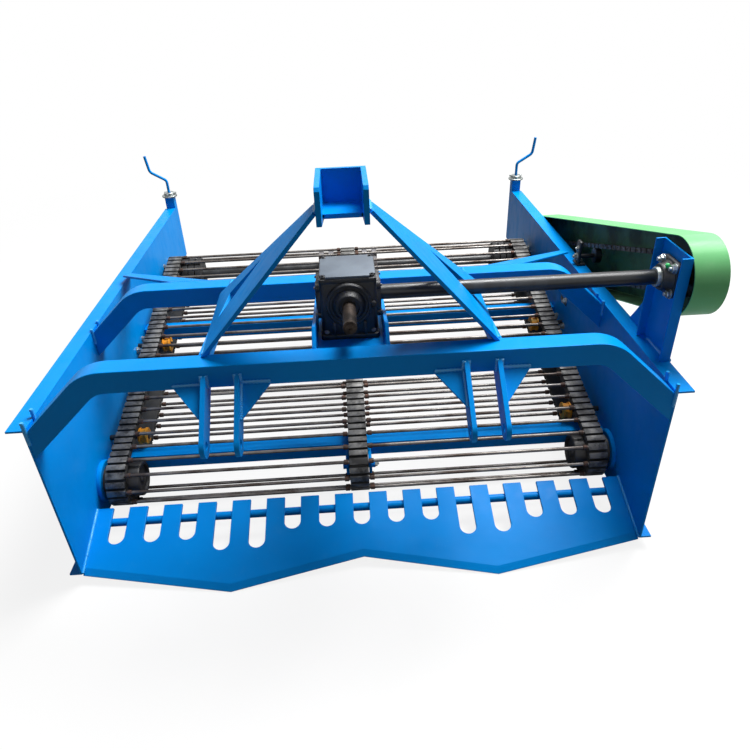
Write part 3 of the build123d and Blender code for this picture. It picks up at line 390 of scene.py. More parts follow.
# helpers that model by hand
def editMode(piece):
    activate(piece)
    bpy.ops.object.mode_set(mode="EDIT")
    bpy.ops.mesh.select_all(action="SELECT")


def objectMode():
    bpy.ops.object.mode_set(mode="OBJECT")


def applyPlace(piece):
    activate(piece)
    bpy.ops.object.transform_apply(location=True, rotation=True, scale=True)
    return piece


def turnFrom(axis):
    return Vector(axis).to_track_quat("Z", "Y").to_euler()


# turned on a lathe: a disc drawn along its axis ring by ring
def addTurned(start, axis, sides, rings, hollow=False):
    axis = Vector(axis).normalized()
    start = Vector(start)
    clearSelection()
    bpy.ops.mesh.primitive_circle_add(vertices=sides, radius=rings[0][1], fill_type="NGON",
                                      location=start + axis * rings[0][0], rotation=turnFrom(axis))
    piece = bpy.context.object
    editMode(piece)
    for before, after in zip(rings, rings[1:]):
        step = tuple(axis * (after[0] - before[0]))
        bpy.ops.mesh.extrude_region_move(TRANSFORM_OT_translate={"value": step})
        ratio = after[1] / before[1]
        bpy.ops.transform.resize(value=(ratio, ratio, ratio), center_override=tuple(start + axis * after[0]))
    if hollow:
        bpy.ops.mesh.delete(type="ONLY_FACE")
        bpy.ops.mesh.select_all(action="DESELECT")
        objectMode()
        for face in piece.data.polygons:
            face.select = len(face.vertices) == sides
        bpy.ops.object.mode_set(mode="EDIT")
        bpy.ops.mesh.delete(type="ONLY_FACE")
        bpy.ops.mesh.select_all(action="SELECT")
        bpy.ops.mesh.remove_doubles(threshold=0.00002)
    bpy.ops.mesh.select_all(action="SELECT")
    bpy.ops.mesh.normals_make_consistent(inside=False)
    return applyPlace(piece)


# a toothed disc: of each four points on the rim, two are drawn out to the tooth's tip
def addToothed(start, axis, teeth, rootRadius, tipRadius, width):
    axis = Vector(axis).normalized()
    clearSelection()
    bpy.ops.mesh.primitive_circle_add(vertices=teeth * 4, radius=rootRadius, fill_type="NGON",
                                      location=start, rotation=turnFrom(axis))
    piece = bpy.context.object
    for vertex in piece.data.vertices:
        vertex.select = vertex.index % 4 in (0, 1)
    piece.data.polygons[0].select = False
    activate(piece)
    bpy.ops.object.mode_set(mode="EDIT")
    ratio = tipRadius / rootRadius
    bpy.ops.transform.resize(value=(ratio, ratio, ratio), center_override=tuple(start))
    bpy.ops.mesh.select_all(action="SELECT")
    bpy.ops.mesh.extrude_region_move(TRANSFORM_OT_translate={"value": tuple(axis * width)})
    bpy.ops.mesh.select_all(action="SELECT")
    bpy.ops.mesh.normals_make_consistent(inside=False)
    return applyPlace(piece)


def addBlock(low, high, edge=0.0, segments=2):
    low, high = Vector(low), Vector(high)
    clearSelection()
    bpy.ops.mesh.primitive_cube_add(size=1, location=(low + high) / 2, scale=high - low)
    piece = bpy.context.object
    bpy.ops.object.transform_apply(location=True, rotation=True, scale=True)
    if edge:
        roundEdges(piece, edge, segments)
    return piece


# rounds the four edges of a block that run along one axis
def roundCorners(piece, axisIndex, radius, segments=5):
    editMode(piece)
    bpy.ops.mesh.select_mode(type="EDGE")
    bpy.ops.mesh.select_all(action="DESELECT")
    objectMode()
    points = piece.data.vertices
    for line in piece.data.edges:
        run = points[line.vertices[1]].co - points[line.vertices[0]].co
        line.select = abs(run[axisIndex]) > 0.999 * run.length
    bpy.ops.object.mode_set(mode="EDIT")
    bpy.ops.mesh.bevel(offset=radius, segments=segments, affect="EDGES")
    bpy.ops.mesh.select_mode(type="VERT")
    objectMode()


def joinPieces(pieces):
    for piece in pieces:
        activate(piece)
        bpy.ops.object.transform_apply(location=True, rotation=True, scale=True)
    clearSelection()
    for piece in pieces:
        piece.select_set(True)
    bpy.context.view_layer.objects.active = pieces[0]
    bpy.ops.object.join()
    return bpy.context.object


# a copy with its own mesh, stood at a place along an axis
def copyTo(master, place, axis=(0, 0, 1), spin=0.0, size=(1, 1, 1)):
    piece = master.copy()
    piece.data = master.data.copy()
    bpy.context.scene.collection.objects.link(piece)
    turn = Vector(axis).to_track_quat("Z", "Y").to_matrix().to_4x4()
    stand = Matrix.Translation(Vector(place)) @ turn @ Matrix.Rotation(spin, 4, "Z")
    piece.matrix_world = stand @ Matrix.Diagonal((*size, 1))
    return piece


def dropMaster(master):
    bpy.data.objects.remove(master, do_unlink=True)


def cutWith(piece, tools):
    for tool in tools:
        cut = piece.modifiers.new("cut", "BOOLEAN")
        cut.object = tool
        cut.operation = "DIFFERENCE"
        cut.solver = "EXACT"
    applyModifiers(piece)
    for tool in tools:
        dropMaster(tool)


# hexagon bolt with a washer, head up along Z, a unit high for a unit across
def makeBoltMaster():
    washer = addTurned((0, 0, 0), (0, 0, 1), 16, ((0, 0.66), (0.12, 0.66), (0.15, 0.62)))
    head = addTurned((0, 0, 0), (0, 0, 1), 6, ((0.15, 0.54), (0.46, 0.54), (0.52, 0.46)))
    shank = addTurned((0, 0, 0), (0, 0, 1), 10, ((0.5, 0.27), (0.78, 0.27), (0.82, 0.23)))
    return joinPieces([washer, head, shank])


boltMaster = makeBoltMaster()


def addBolts(name, finish, rows, body="frame"):
    copies = [copyTo(boltMaster, place, axis, 0.4 + 1.3 * number, (across, across, across)) for number,
              (place, axis, across) in enumerate(rows)]
    return settle(joinPieces(copies), name, finish, body)


def outward(turn):
    return Vector((math.cos(turn), math.sin(turn)))


# loop of a belt or chain round two circles, as points with their outward turn
def loopPoint(first, firstRadius, second, secondRadius, along):
    run = Vector(second) - Vector(first)
    span = run.length
    slope = math.atan2(run.y, run.x)
    lean = math.asin((secondRadius - firstRadius) / span)
    straight = math.sqrt(span ** 2 - (secondRadius - firstRadius) ** 2)
    topTurn = slope + math.pi / 2 + lean
    lowTurn = slope - math.pi / 2 - lean
    secondArc = (math.pi + 2 * lean) * secondRadius
    firstArc = (math.pi - 2 * lean) * firstRadius
    along %= 2 * straight + secondArc + firstArc
    if along < straight:
        start = Vector(first) + outward(topTurn) * firstRadius
        return start + outward(topTurn - math.pi / 2) * along, topTurn
    along -= straight
    if along < secondArc:
        turn = topTurn - along / secondRadius
        return Vector(second) + outward(turn) * secondRadius, turn
    along -= secondArc
    if along < straight:
        start = Vector(second) + outward(lowTurn) * secondRadius
        return start + outward(lowTurn - math.pi / 2) * along, lowTurn
    along -= straight
    turn = lowTurn - along / firstRadius
    return Vector(first) + outward(turn) * firstRadius, turn


# the rod web: rods on a ring outside three ridged belts
web = {"nose": (0.270, -0.645), "drive": (1.365, -0.403), "wheelRadius": 0.058, "beltThickness": 0.013,
       "rodRadius": 0.0055, "rodRing": 0.0768, "rodCount": 50, "phase": 0.25, "rodHalf": 0.792,
       "beltWidth": 0.060, "rodShown": 0.0054, "rodEnd": 0.0042, "rodChamfer": 0.001, "collarRadius": 0.0082,
       "collarBore": 0.0058, "collarHalf": 0.0075, "collarLip": 0.0065,
       "collarPlaces": (-0.722, -0.040, 0.040, 0.722),
       "beltCentres": {"left": -0.762, "centre": 0.0, "right": 0.762}, "padLength": 0.0215,
       "padHeight": 0.0122, "middleLength": 0.0190, "middleTop": 0.0062, "padEdge": 0.0016}


def webPlace(number):
    nose, drive = web["nose"], web["drive"]
    ring = web["rodRing"]
    span = math.hypot(drive[0] - nose[0], drive[1] - nose[1])
    loop = 2 * span + 2 * math.pi * ring
    return loopPoint(nose, ring, drive, ring, (number + web["phase"]) * loop / web["rodCount"])


def addWeb():
    master = addTurned((0, 0, -web["rodHalf"]), (0, 0, 1), 12,
                       ((0, web["rodEnd"]), (web["rodChamfer"], web["rodShown"]),
                        (2 * web["rodHalf"] - web["rodChamfer"], web["rodShown"]),
                        (2 * web["rodHalf"], web["rodEnd"])))
    rods = []
    for number in range(web["rodCount"]):
        place, turn = webPlace(number)
        rods.append(copyTo(master, (0, place.x, place.y), (1, 0, 0), number * 0.7))
    dropMaster(master)
    half, lip, bore, radius = web["collarHalf"], web["collarLip"], web["collarBore"], web["collarRadius"]
    collar = addTurned((0, 0, 0), (0, 0, 1), 10, ((-half, bore), (-lip, radius), (lip, radius), (half, bore)))
    collars = []
    for number in range(web["rodCount"]):
        place, turn = webPlace(number)
        for x in web["collarPlaces"]:
            collars.append(copyTo(collar, (x, place.x, place.y), (1, 0, 0), number * 0.9))
    dropMaster(collar)
    settle(joinPieces(collars), "rodCollars", "collarSteel")
    rodLoop = settle(joinPieces(rods), "rodLoop", "millSteelRod")
    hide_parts("web_rods")

    for side, centre in web["beltCentres"].items():
        half = web["beltWidth"] / 2
        sole, edge = -web["rodRadius"], web["padEdge"]
        pad = addBlock((-half, -web["padLength"] / 2, sole),
                       (half, web["padLength"] / 2, web["padHeight"] + sole), edge)
        middlePad = addBlock((-half, -web["middleLength"] / 2, sole),
                             (half, web["middleLength"] / 2, web["middleTop"]), edge)
        pads = []
        for number in range(web["rodCount"] * 2):
            place, turn = webPlace(number / 2)
            one = copyTo(middlePad if number % 2 else pad, (0, 0, 0))
            one.matrix_world = Matrix.Translation((centre, place.x,
                                                   place.y)) @ Matrix.Rotation(turn - math.pi / 2, 4, "X")
            pads.append(one)
        dropMaster(pad)
        dropMaster(middlePad)
        paintPads(joinPieces(pads), side)

        outer, inner = web["wheelRadius"] + web["beltThickness"], web["wheelRadius"]
        belt = addTurned((centre - half, *web["nose"]), (1, 0, 0), 72,
                         ((0, outer), (2 * half, outer), (2 * half, inner), (0, inner), (0, outer)),
                         hollow=True)
        stretchAlongWeb(belt)
        roundEdges(belt, 0.0012, 1)
        settle(belt, "ridgedBelt_" + side, "beltRubber")
        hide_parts("web_belt_" + side)
    print("rod web ready")


# half of a ring is drawn back to the drive shaft, which makes it a belt
def stretchAlongWeb(piece):
    nose, drive = Vector(web["nose"]), Vector(web["drive"])
    editMode(piece)
    bpy.ops.mesh.select_mode(type="VERT")
    bpy.ops.mesh.select_all(action="DESELECT")
    objectMode()
    for vertex in piece.data.vertices:
        vertex.select = (Vector((vertex.co.y, vertex.co.z)) - nose).dot(drive - nose) > 0
    bpy.ops.object.mode_set(mode="EDIT")
    bpy.ops.transform.translate(value=(0, drive.x - nose.x, drive.y - nose.y))
    bpy.ops.mesh.select_all(action="SELECT")
    bpy.ops.mesh.normals_make_consistent(inside=False)
    objectMode()


def ringDistance(point):
    nose, drive = Vector(web["nose"]), Vector(web["drive"])
    spot = Vector((point.y, point.z))
    share = max(0.0, min(1.0, (spot - nose).dot(drive - nose) / (drive - nose).length_squared))
    return (spot - (nose + (drive - nose) * share)).length


# the outermost faces of a belt have their rubber rubbed grey
def wearTops(piece):
    piece.data.materials.append(materials["wornRidge"])
    far = max(ringDistance(face.center) for face in piece.data.polygons)
    for face in piece.data.polygons:
        face.material_index = 1 if ringDistance(face.center) > far - 0.0012 else 0


def paintPads(piece, side):
    settle(piece, "rodPads_" + side, "beltRubber")
    wearTops(piece)


addWeb()

# toothed drums and wheels that turn the web
drums = {"noseTeeth": 18, "noseRoot": 0.0530, "noseTip": 0.0577, "rearRoot": 0.062, "rearTip": 0.0707,
         "rearTeeth": 9, "shaftRadius": 0.021, "shaftEnd": 0.851, "plateX": 0.825, "toothedX": 0.792,
         "innerX": 0.734, "toothedWidth": 0.058, "rubberX": 0.690, "rubberSteps": (-0.040, -0.012, 0.016),
         "castX": 0.096, "castSteps": (-0.033, 0.011)}


def addDrums():
    nose, drive = web["nose"], web["drive"]
    wheels = []
    for sign in (-1, 1):
        wheels.append(addTurned((sign * drums["plateX"], nose[0], nose[1]), (-sign, 0, 0), 40,
                                ((0, 0.050), (0.020, 0.050), (0.033, 0.047))))
        wheels.append(addToothed((sign * drums["toothedX"], nose[0], nose[1]), (-sign, 0, 0),
                                 drums["noseTeeth"], drums["noseRoot"], drums["noseTip"],
                                 drums["toothedWidth"]))
        wheels.append(addTurned((sign * drums["innerX"], nose[0], nose[1]), (-sign, 0, 0), 40,
                                ((0, 0.056), (0.034, 0.056), (0.038, 0.053), (0.038, 0.044), (0.030, 0.042),
                                 (0.030, 0.018), (0.036, 0.016), (0.038, 0.012))))
    for wheel in wheels:
        roundEdges(wheel, 0.0008, 1)
    noseWheels = settle(joinPieces(wheels), "noseDrums", "blackRubberWheel")
    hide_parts("nose_wheels")

    rings = []
    for sign in (-1, 1):
        rings.append(addTurned((sign * 0.8245, nose[0], nose[1]), (-sign, 0, 0), 48,
                               ((0, 0.068), (0.010, 0.068), (0.013, 0.065), (0.013, 0.052))))
    settle(joinPieces(rings), "noseBossRings", "blueEnamel")

    centre = addToothed((-drums["toothedWidth"] / 2, nose[0], nose[1]), (1, 0, 0), drums["noseTeeth"],
                        drums["noseRoot"], drums["noseTip"], drums["toothedWidth"])
    roundEdges(centre, 0.0008, 1)
    settle(centre, "centreNoseDrum", "blackRubberWheel")
    fork = []
    for x in (-0.042, 0.032):
        plate = addBlock((x, nose[0] - 0.022, nose[1] - 0.022), (x + 0.010, 0.332, nose[1] + 0.030), 0.0015)
        fork.append(plate)
    fork.append(addTurned((-0.052, nose[0], nose[1]), (1, 0, 0), 20, ((0, 0.012), (0.104, 0.012))))
    forkPiece = settle(joinPieces(fork), "centreNoseFork", "blueEnamel")
    addBolts("noseForkBolts", "zincPlate", [((0.052, nose[0], nose[1]), (1, 0, 0), 0.016)])
    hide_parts("nose_wheel_centre")

    shaft = addTurned((-drums["shaftEnd"], drive[0], drive[1]), (1, 0, 0), 32,
                      ((0, 0.020), (0.001, drums["shaftRadius"]), (1.702, drums["shaftRadius"]),
                       (1.702, 0.017), (1.783, 0.017), (1.784, 0.016)))
    settle(shaft, "webDriveShaft", "blackEnamel")
    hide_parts("web_drive_shaft")
    rubber = []
    for x, width in ((-0.762, 0.056), (0.0, 0.056), (0.762, 0.056)):
        rubber.append(addToothed((x - width / 2, drive[0], drive[1]), (1, 0, 0), drums["noseTeeth"], 0.053,
                                 0.0577, width))
    for x in (-drums["rubberX"], drums["rubberX"]):
        for offset in drums["rubberSteps"]:
            rubber.append(addToothed((x + offset, drive[0], drive[1]), (1, 0, 0), drums["rearTeeth"],
                                     drums["rearRoot"], drums["rearTip"], 0.024))
        rubber.append(addTurned((x - 0.041, drive[0], drive[1]), (1, 0, 0), 32, ((0, 0.052), (0.082, 0.052))))
    for piece in rubber:
        roundEdges(piece, 0.0010, 1)
    settle(joinPieces(rubber), "rearRubberDrums", "blackRubberWheel")
    blocks = []
    for sign in (-1, 1):
        for offset in drums["castSteps"]:
            blocks.append(addToothed((sign * drums["castX"] + offset, drive[0], drive[1]), (1, 0, 0),
                                     drums["rearTeeth"], drums["rearRoot"], drums["rearTip"], 0.022))
        blocks.append(addTurned((sign * drums["castX"] - 0.033, drive[0], drive[1]), (1, 0, 0), 32,
                                ((0, 0.050), (0.066, 0.050))))
    for piece in blocks:
        roundEdges(piece, 0.0010, 1)
    settle(joinPieces(blocks), "rearCastBlocks", "castGrey")
    print("drums and nose wheels ready")


addDrums()

# rollers that carry the web, moulded plastic on steel pins
rollers = {"radius": 0.028, "x": 0.714, "width": 0.030, "slope": math.atan2(0.242, 1.095),
           "places": (0.410, 0.860)}


def addRollers(values):
    plastic, pins = [], []
    lift = web["rodRing"] - web["rodRadius"] - values["radius"] - 0.0003
    for sign in (-1, 1):
        for place in values["places"]:
            along = (place - web["nose"][0])
            base = (web["nose"][0] + along, web["nose"][1] + along * math.tan(values["slope"]))
            spot = (base[0] - lift * math.sin(values["slope"]), base[1] + lift * math.cos(values["slope"]))
            start = (sign * (values["x"] - values["width"] / 2), spot[0], spot[1])
            plastic.append(addTurned(start, (sign, 0, 0), 32,
                                     ((0, 0.012), (0, 0.0255), (0.0015, 0.028), (0.006, 0.028),
                                      (0.008, 0.024), (0.022, 0.024), (0.024, 0.028), (0.0285, 0.028),
                                      (0.030, 0.0255), (0.030, 0.012))))
            pins.append(addTurned(start, (sign, 0, 0), 20,
                                  ((-0.006, 0.008), (-0.004, 0.011), (0.034, 0.011), (0.034, 0.009),
                                   (0.126, 0.009))))
    settled = settle(joinPieces(plastic), "webRollers", "orangePlastic")
    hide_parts("support_rollers")
    settle(joinPieces(pins), "rollerPins", "blackEnamel")
    print("rollers ready")


addRollers(rollers)

# gearbox casting with its cover, bosses and bolts
gearbox = {"half": 0.073, "front": 0.134, "rear": 0.280, "bottom": -0.100, "coverBase": 0.069, "top": 0.076,
           "axisY": 0.198, "boltCircle": 0.052}


def addGearbox(values):
    half, front, rear, axisY = values["half"], values["front"], values["rear"], values["axisY"]
    circle = values["boltCircle"]
    body = addBlock((-half, front, values["bottom"] + 0.010), (half, rear, values["coverBase"] - 0.010))
    roundCorners(body, 2, 0.012, 5)
    roundEdges(body, 0.003, 3)
    lip = addBlock((-half, front, values["coverBase"] - 0.013), (half, rear, values["coverBase"]))
    roundCorners(lip, 2, 0.006, 4)
    roundEdges(lip, 0.0015, 2)
    foot = addBlock((-0.077, 0.130, values["bottom"]), (0.077, 0.284, values["bottom"] + 0.014))
    roundCorners(foot, 2, 0.008, 4)
    roundEdges(foot, 0.002, 2)
    boss = addTurned((0, front, 0), (0, -1, 0), 56,
                     ((-0.004, 0.060), (0.006, 0.059), (0.0095, 0.056), (0.0095, 0.051), (0.0075, 0.049),
                      (0.0075, 0.044), (0.0115, 0.042), (0.018, 0.037), (0.0235, 0.0355), (0.026, 0.033),
                      (0.026, 0.0265), (0.020, 0.0255), (0.020, 0.018)))
    parts = [body, lip, foot, boss]
    for sign in (-1, 1):
        parts.append(addTurned((sign * half, axisY, 0), (sign, 0, 0), 48,
                               ((-0.004, 0.057), (0.005, 0.056), (0.009, 0.053), (0.009, 0.040),
                                (0.012, 0.038), (0.012, 0.024), (0.008, 0.022))))
        for turn in range(4):
            angle = math.radians(45 + 90 * turn)
            spot = (sign * half, axisY + circle * math.cos(angle), circle * math.sin(angle))
            parts.append(addTurned(spot, (sign, 0, 0), 20,
                                   ((-0.002, 0.0125), (0.009, 0.0115), (0.0105, 0.010))))
    ribs = [addBlock((x - 0.004, front - 0.0045, -0.088), (x + 0.004, front + 0.004, -0.050), 0.0015)
            for x in (-0.040, 0.040)]
    plug = addTurned((0.060, front, -0.004), (0, -1, 0), 24,
                     ((-0.002, 0.0115), (0.006, 0.011), (0.007, 0.0095), (0.007, 0.006), (0.004, 0.0055)))
    casting = settle(joinPieces(parts + ribs + [plug]), "gearboxCasting", "blackCasting")
    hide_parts("gearbox")

    cover = addBlock((-0.0705, front + 0.0025, values["coverBase"]),
                     (0.0705, rear - 0.0025, values["top"] - 0.0005))
    corners = []
    for x in (-1, 1):
        for y in (front + 0.008, rear - 0.008):
            corners.append(addBlock((x * 0.0645 - 0.0085, y - 0.0085, 0.060),
                                    (x * 0.0645 + 0.0085, y + 0.0085, 0.090)))
    cutWith(cover, corners)
    roundEdges(cover, 0.0010, 2)
    settle(cover, "gearboxCover", "coverPlate")
    small = [((x * 0.062, y, values["coverBase"]), (0, 0, 1), 0.0115) for x in (-1, 1)
             for y in (front + 0.011, rear - 0.011)]
    addBolts("coverBolts", "blackEnamel", small)
    flangeBolts = [((sign * (half + 0.0040), axisY + circle * math.cos(math.radians(45 + 90 * turn)),
                     circle * math.sin(math.radians(45 + 90 * turn))),
                    (sign, 0, 0), 0.0130)
                   for sign in (-1, 1) for turn in range(4)]
    addBolts("flangeBolts", "greyBolt", flangeBolts)
    footBolts = [((x * 0.061, front + 0.001, -0.077), (0, -1, 0.3), 0.0100) for x in (-1, 1)]
    footBolts += [((x * 0.070, y, -0.086), (0, 0, 1), 0.012) for x in (-1, 1) for y in (0.150, 0.264)]
    addBolts("gearboxFootBolts", "greyBolt", footBolts)
    print("gearbox ready")


addGearbox(gearbox)

# splined input shaft with a centre hole
inputShaft = {"splines": 6, "root": 0.0126, "tip": 0.01745, "splineEnd": 0.086, "rear": 0.118}


def addInputShaft(values):
    splines = addToothed((0, 0.0025, 0), (0, 1, 0), values["splines"], values["root"], values["tip"],
                         values["splineEnd"] - 0.0025)
    roundEdges(splines, 0.0005, 1)
    tip = addTurned((0, 0, 0), (0, 1, 0), 32,
                    ((0.004, 0.0126), (0.0, 0.0118), (0.0, 0.0042), (0.005, 0.0030)))
    neck = addTurned((0, 0, 0), (0, 1, 0), 40,
                     ((values["splineEnd"] - 0.001, 0.0150), (values["splineEnd"] + 0.002, 0.01745),
                      (values["rear"], 0.01745)))
    shaft = settle(joinPieces([splines, tip, neck]), "splinedShaft", "shaftSteel", smooth=22)
    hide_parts("input_shaft")
    print("input shaft ready")


addInputShaft(inputShaft)

# cross shaft, its flange bearing, bolts and grease cap
bearing = {"x": 0.867, "y": 0.198, "halfSquare": 0.050, "corner": 0.020, "thick": 0.013, "boltSpread": 0.0355}


def addBearing(values):
    x, y = values["x"], values["y"]
    shaft = addTurned((0.085, y, 0), (1, 0, 0), 40,
                      ((0, 0.0200), (0.737, 0.0200), (0.738, 0.0195), (0.738, 0.015), (0.847, 0.015),
                       (0.848, 0.014)))
    settle(shaft, "crossShaft", "blackEnamel")
    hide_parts("cross_shaft")
    plate = addBlock((x - values["thick"], y - values["halfSquare"], -values["halfSquare"]),
                     (x, y + values["halfSquare"], values["halfSquare"]))
    roundCorners(plate, 0, values["corner"], 6)
    roundEdges(plate, 0.0025, 3)
    hub = addTurned((x, y, 0), (-1, 0, 0), 48,
                    ((0.010, 0.046), (0.016, 0.043), (0.022, 0.038), (0.032, 0.0365), (0.036, 0.034),
                     (0.036, 0.029), (0.0335, 0.0275), (0.0335, 0.021)))
    boss = addTurned((x - 0.022, y - 0.018, 0.030), (-0.5, -0.35, 0.8), 14,
                     ((-0.008, 0.008), (0.004, 0.007), (0.005, 0.006)))
    housing = settle(joinPieces([plate, hub, boss]), "bearingHousing", "blackCasting")
    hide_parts("flange_bearing")
    ring = addTurned((x - 0.033, y, 0), (-1, 0, 0), 40,
                     ((0, 0.0265), (0.0135, 0.0265), (0.015, 0.025), (0.015, 0.0202)))
    screw = addTurned((x - 0.041, y - 0.018, 0.0195), (0, -0.68, 0.73), 6,
                      ((-0.002, 0.0035), (0.0022, 0.0035), (0.0024, 0.0018), (0.0008, 0.0016)))
    settle(joinPieces([ring, screw]), "lockingRing", "zincPlate")
    spread = values["boltSpread"]
    rows = [((x - values["thick"], y + a * spread, b * spread), (-1, 0, 0), 0.0215) for a in (-1, 1)
            for b in (-1, 1)]
    addBolts("bearingBolts", "zincPlate", rows)
    cap = addTurned((x - 0.0255, y - 0.0200, 0.0352), (-0.5, -0.35, 0.8), 16,
                    ((0, 0.0045), (0.002, 0.006), (0.009, 0.006), (0.012, 0.0045), (0.013, 0.002)))
    settle(cap, "greaseCap", "greenCap")
    print("bearing ready")


addBearing(bearing)

# sprockets and a roller chain
drive = {"x": 0.915, "firstAt": (0.198, 0.0), "firstRadius": 0.052, "secondAt": (1.365, -0.403),
         "secondRadius": 0.066, "firstTeeth": 17, "secondTeeth": 22, "firstBore": 0.015, "secondBore": 0.017,
         "toothRoot": 0.0052, "toothTip": 0.0035, "discThick": 0.0064, "links": 149, "rollerRadius": 0.0052,
         "pinRadius": 0.0025, "pinReach": 0.0084, "innerGap": 0.0044, "outerGap": 0.0062,
         "plateThick": 0.0016, "plateHeight": 0.0145}


def addChain(values):
    x = values["x"]
    for name, node, which in (("driveSprocket", "drive_sprocket", "first"),
                              ("drivenSprocket", "driven_sprocket", "second")):
        at, radius, bore = values[which + "At"], values[which + "Radius"], values[which + "Bore"]
        disc = addToothed((x - values["discThick"] / 2, at[0], at[1]), (1, 0, 0), values[which + "Teeth"],
                          radius - values["toothRoot"], radius + values["toothTip"], values["discThick"])
        hub = addTurned((x - 0.0225, at[0], at[1]), (1, 0, 0), 32,
                        ((0, 0.026), (0.001, 0.027), (0.027, 0.027), (0.028, 0.026), (0.028, bore + 0.0005)))
        roundEdges(disc, 0.0006, 1)
        wheel = settle(joinPieces([disc, hub]), name, "chainSteel")
        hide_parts(node)
    span = math.hypot(values["secondAt"][0] - values["firstAt"][0],
                      values["secondAt"][1] - values["firstAt"][1])
    lean = math.asin((values["secondRadius"] - values["firstRadius"]) / span)
    loop = (2 * span * math.cos(lean) + (math.pi + 2 * lean) * values["secondRadius"]
            + (math.pi - 2 * lean) * values["firstRadius"])
    pitch = loop / values["links"]
    height = values["plateHeight"]
    overhang = height * 0.42
    masters = []
    # an inner link with its rollers, then an outer link with its pins
    for gap, radius, reach in ((values["innerGap"], values["rollerRadius"], values["innerGap"]),
                               (values["outerGap"], values["pinRadius"], values["pinReach"])):
        sides = []
        for side in (-1, 1):
            low, high = sorted((side * gap, side * (gap + values["plateThick"])))
            plate = addBlock((low, -pitch / 2 - overhang, -height / 2),
                             (high, pitch / 2 + overhang, height / 2))
            roundCorners(plate, 0, overhang, 3)
            sides.append(plate)
        for end in (-1, 1):
            sides.append(addTurned((-reach, end * pitch / 2, 0), (1, 0, 0), 10,
                                   ((0, radius), (2 * reach, radius))))
        masters.append(joinPieces(sides))
    links = []
    for number in range(values["links"]):
        place, turn = loopPoint(values["firstAt"], values["firstRadius"], values["secondAt"],
                                values["secondRadius"], (number + 0.5) * pitch)
        link = copyTo(masters[number % 2], (0, 0, 0))
        link.matrix_world = Matrix.Translation((x, place.x, place.y)) @ Matrix.Rotation(
            turn - math.pi / 2, 4, "X")
        links.append(link)
    for master in masters:
        dropMaster(master)
    chain = settle(joinPieces(links), "rollerChain", "chainSteel")
    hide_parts("drive_chain")
    print("chain ready with", values["links"], "links")


addChain(drive)

# idler: a flat arm on the flange, its roller under the chain, and bolts
idler = {"barX": 0.843, "y": 0.830, "rollerX": 0.904, "rollerDrop": 0.060, "armHalf": 0.017,
         "armThick": 0.009, "footHalf": 0.026, "footThick": 0.007, "footBack": 0.006, "footFront": 0.026,
         "pinRadius": 0.008, "pinLength": 0.083, "rollerWide": 0.022}


def addIdler(values):
    low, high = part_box("idler_arm")
    rollerZ = high[2] - values["rollerDrop"]
    arm = addBlock((values["barX"], values["y"] - values["armHalf"], low[2]),
                   (values["barX"] + values["armThick"], values["y"] + values["armHalf"], high[2]))
    roundCorners(arm, 0, 0.008, 4)
    roundEdges(arm, 0.001, 2)
    footTop = low[2] + values["footThick"]
    foot = addBlock((values["barX"] - values["footBack"], values["y"] - values["footHalf"], low[2]),
                    (values["barX"] + values["footFront"], values["y"] + values["footHalf"], footTop), 0.0015)
    pin = addTurned((values["barX"], values["y"], rollerZ), (1, 0, 0), 20,
                    ((0, values["pinRadius"]), (values["pinLength"], values["pinRadius"])))
    wheel = addTurned((values["rollerX"], values["y"], rollerZ), (1, 0, 0), 36,
                      ((0, 0.012), (0, 0.024), (0.001, 0.027), (0.021, 0.027), (0.022, 0.024),
                       (0.022, 0.012)))
    piece = settle(joinPieces([arm, foot, pin, wheel]), "chainIdler", "blackEnamel")
    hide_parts("idler_arm")
    rows = [((values["barX"], values["y"], rollerZ), (-1, 0, 0), 0.020),
            ((values["barX"], values["y"] - 0.002, rollerZ + 0.032), (-1, 0, 0), 0.014),
            ((values["barX"] + 0.017, values["y"] + 0.012, footTop), (0, 0, 1), 0.015),
            ((values["rollerX"] + values["rollerWide"], values["y"], rollerZ), (1, 0, 0), 0.016)]
    addBolts("idlerBolts", "zincPlate", rows)
    print("idler ready")


addIdler(idler)


# chain guard: painted outside, with painted shade as a darker green on its inner faces
guardLoop = {"front": (0, 0.198, 0.0), "rear": (0, 1.400, -0.372), "coverX": 0.95}


def addGuard(values):
    guard = roundedCopy("chain_guard", "guardShell", "greenEnamel", 0.0012)
    guard.data.materials.append(materials["guardPaintedShade"])
    for face in guard.data.polygons:
        inward = Vector((0, face.center.y, face.center.z))
        towards = loopCentre(inward, values) - inward
        inside = face.normal.x < -0.9 and face.center.x > values["coverX"]
        inside = inside or (abs(face.normal.x) < 0.3 and Vector((0, face.normal.y,
                                                                 face.normal.z)).dot(towards) > 0)
        # inner faces take the darker green as painted shade
        face.material_index = 1 if inside else 0
    print("guard ready")


def loopCentre(point, values):
    first, second = Vector(values["front"]), Vector(values["rear"])
    share = max(0.0, min(1.0, (point - first).dot(second - first) / (second - first).length_squared))
    return first + (second - first) * share


addGuard(guardLoop)

# threaded adjusters on the posts: zinc discs with side pins, and bent crank rods
adjusters = {"x": 0.846, "y": 1.791, "discBase": -0.168, "discHeight": 0.021, "pinTurns": (0.4, 2.5, 4.6),
             "pinRing": 0.022, "pinRise": 0.0145, "crankRadius": 0.0064,
             "path": ((0, -0.012), (0, 0.030), (0, 0.056), (0.022, 0.069), (0.048, 0.085), (0.070, 0.098),
                      (0.074, 0.124), (0.080, 0.172))}


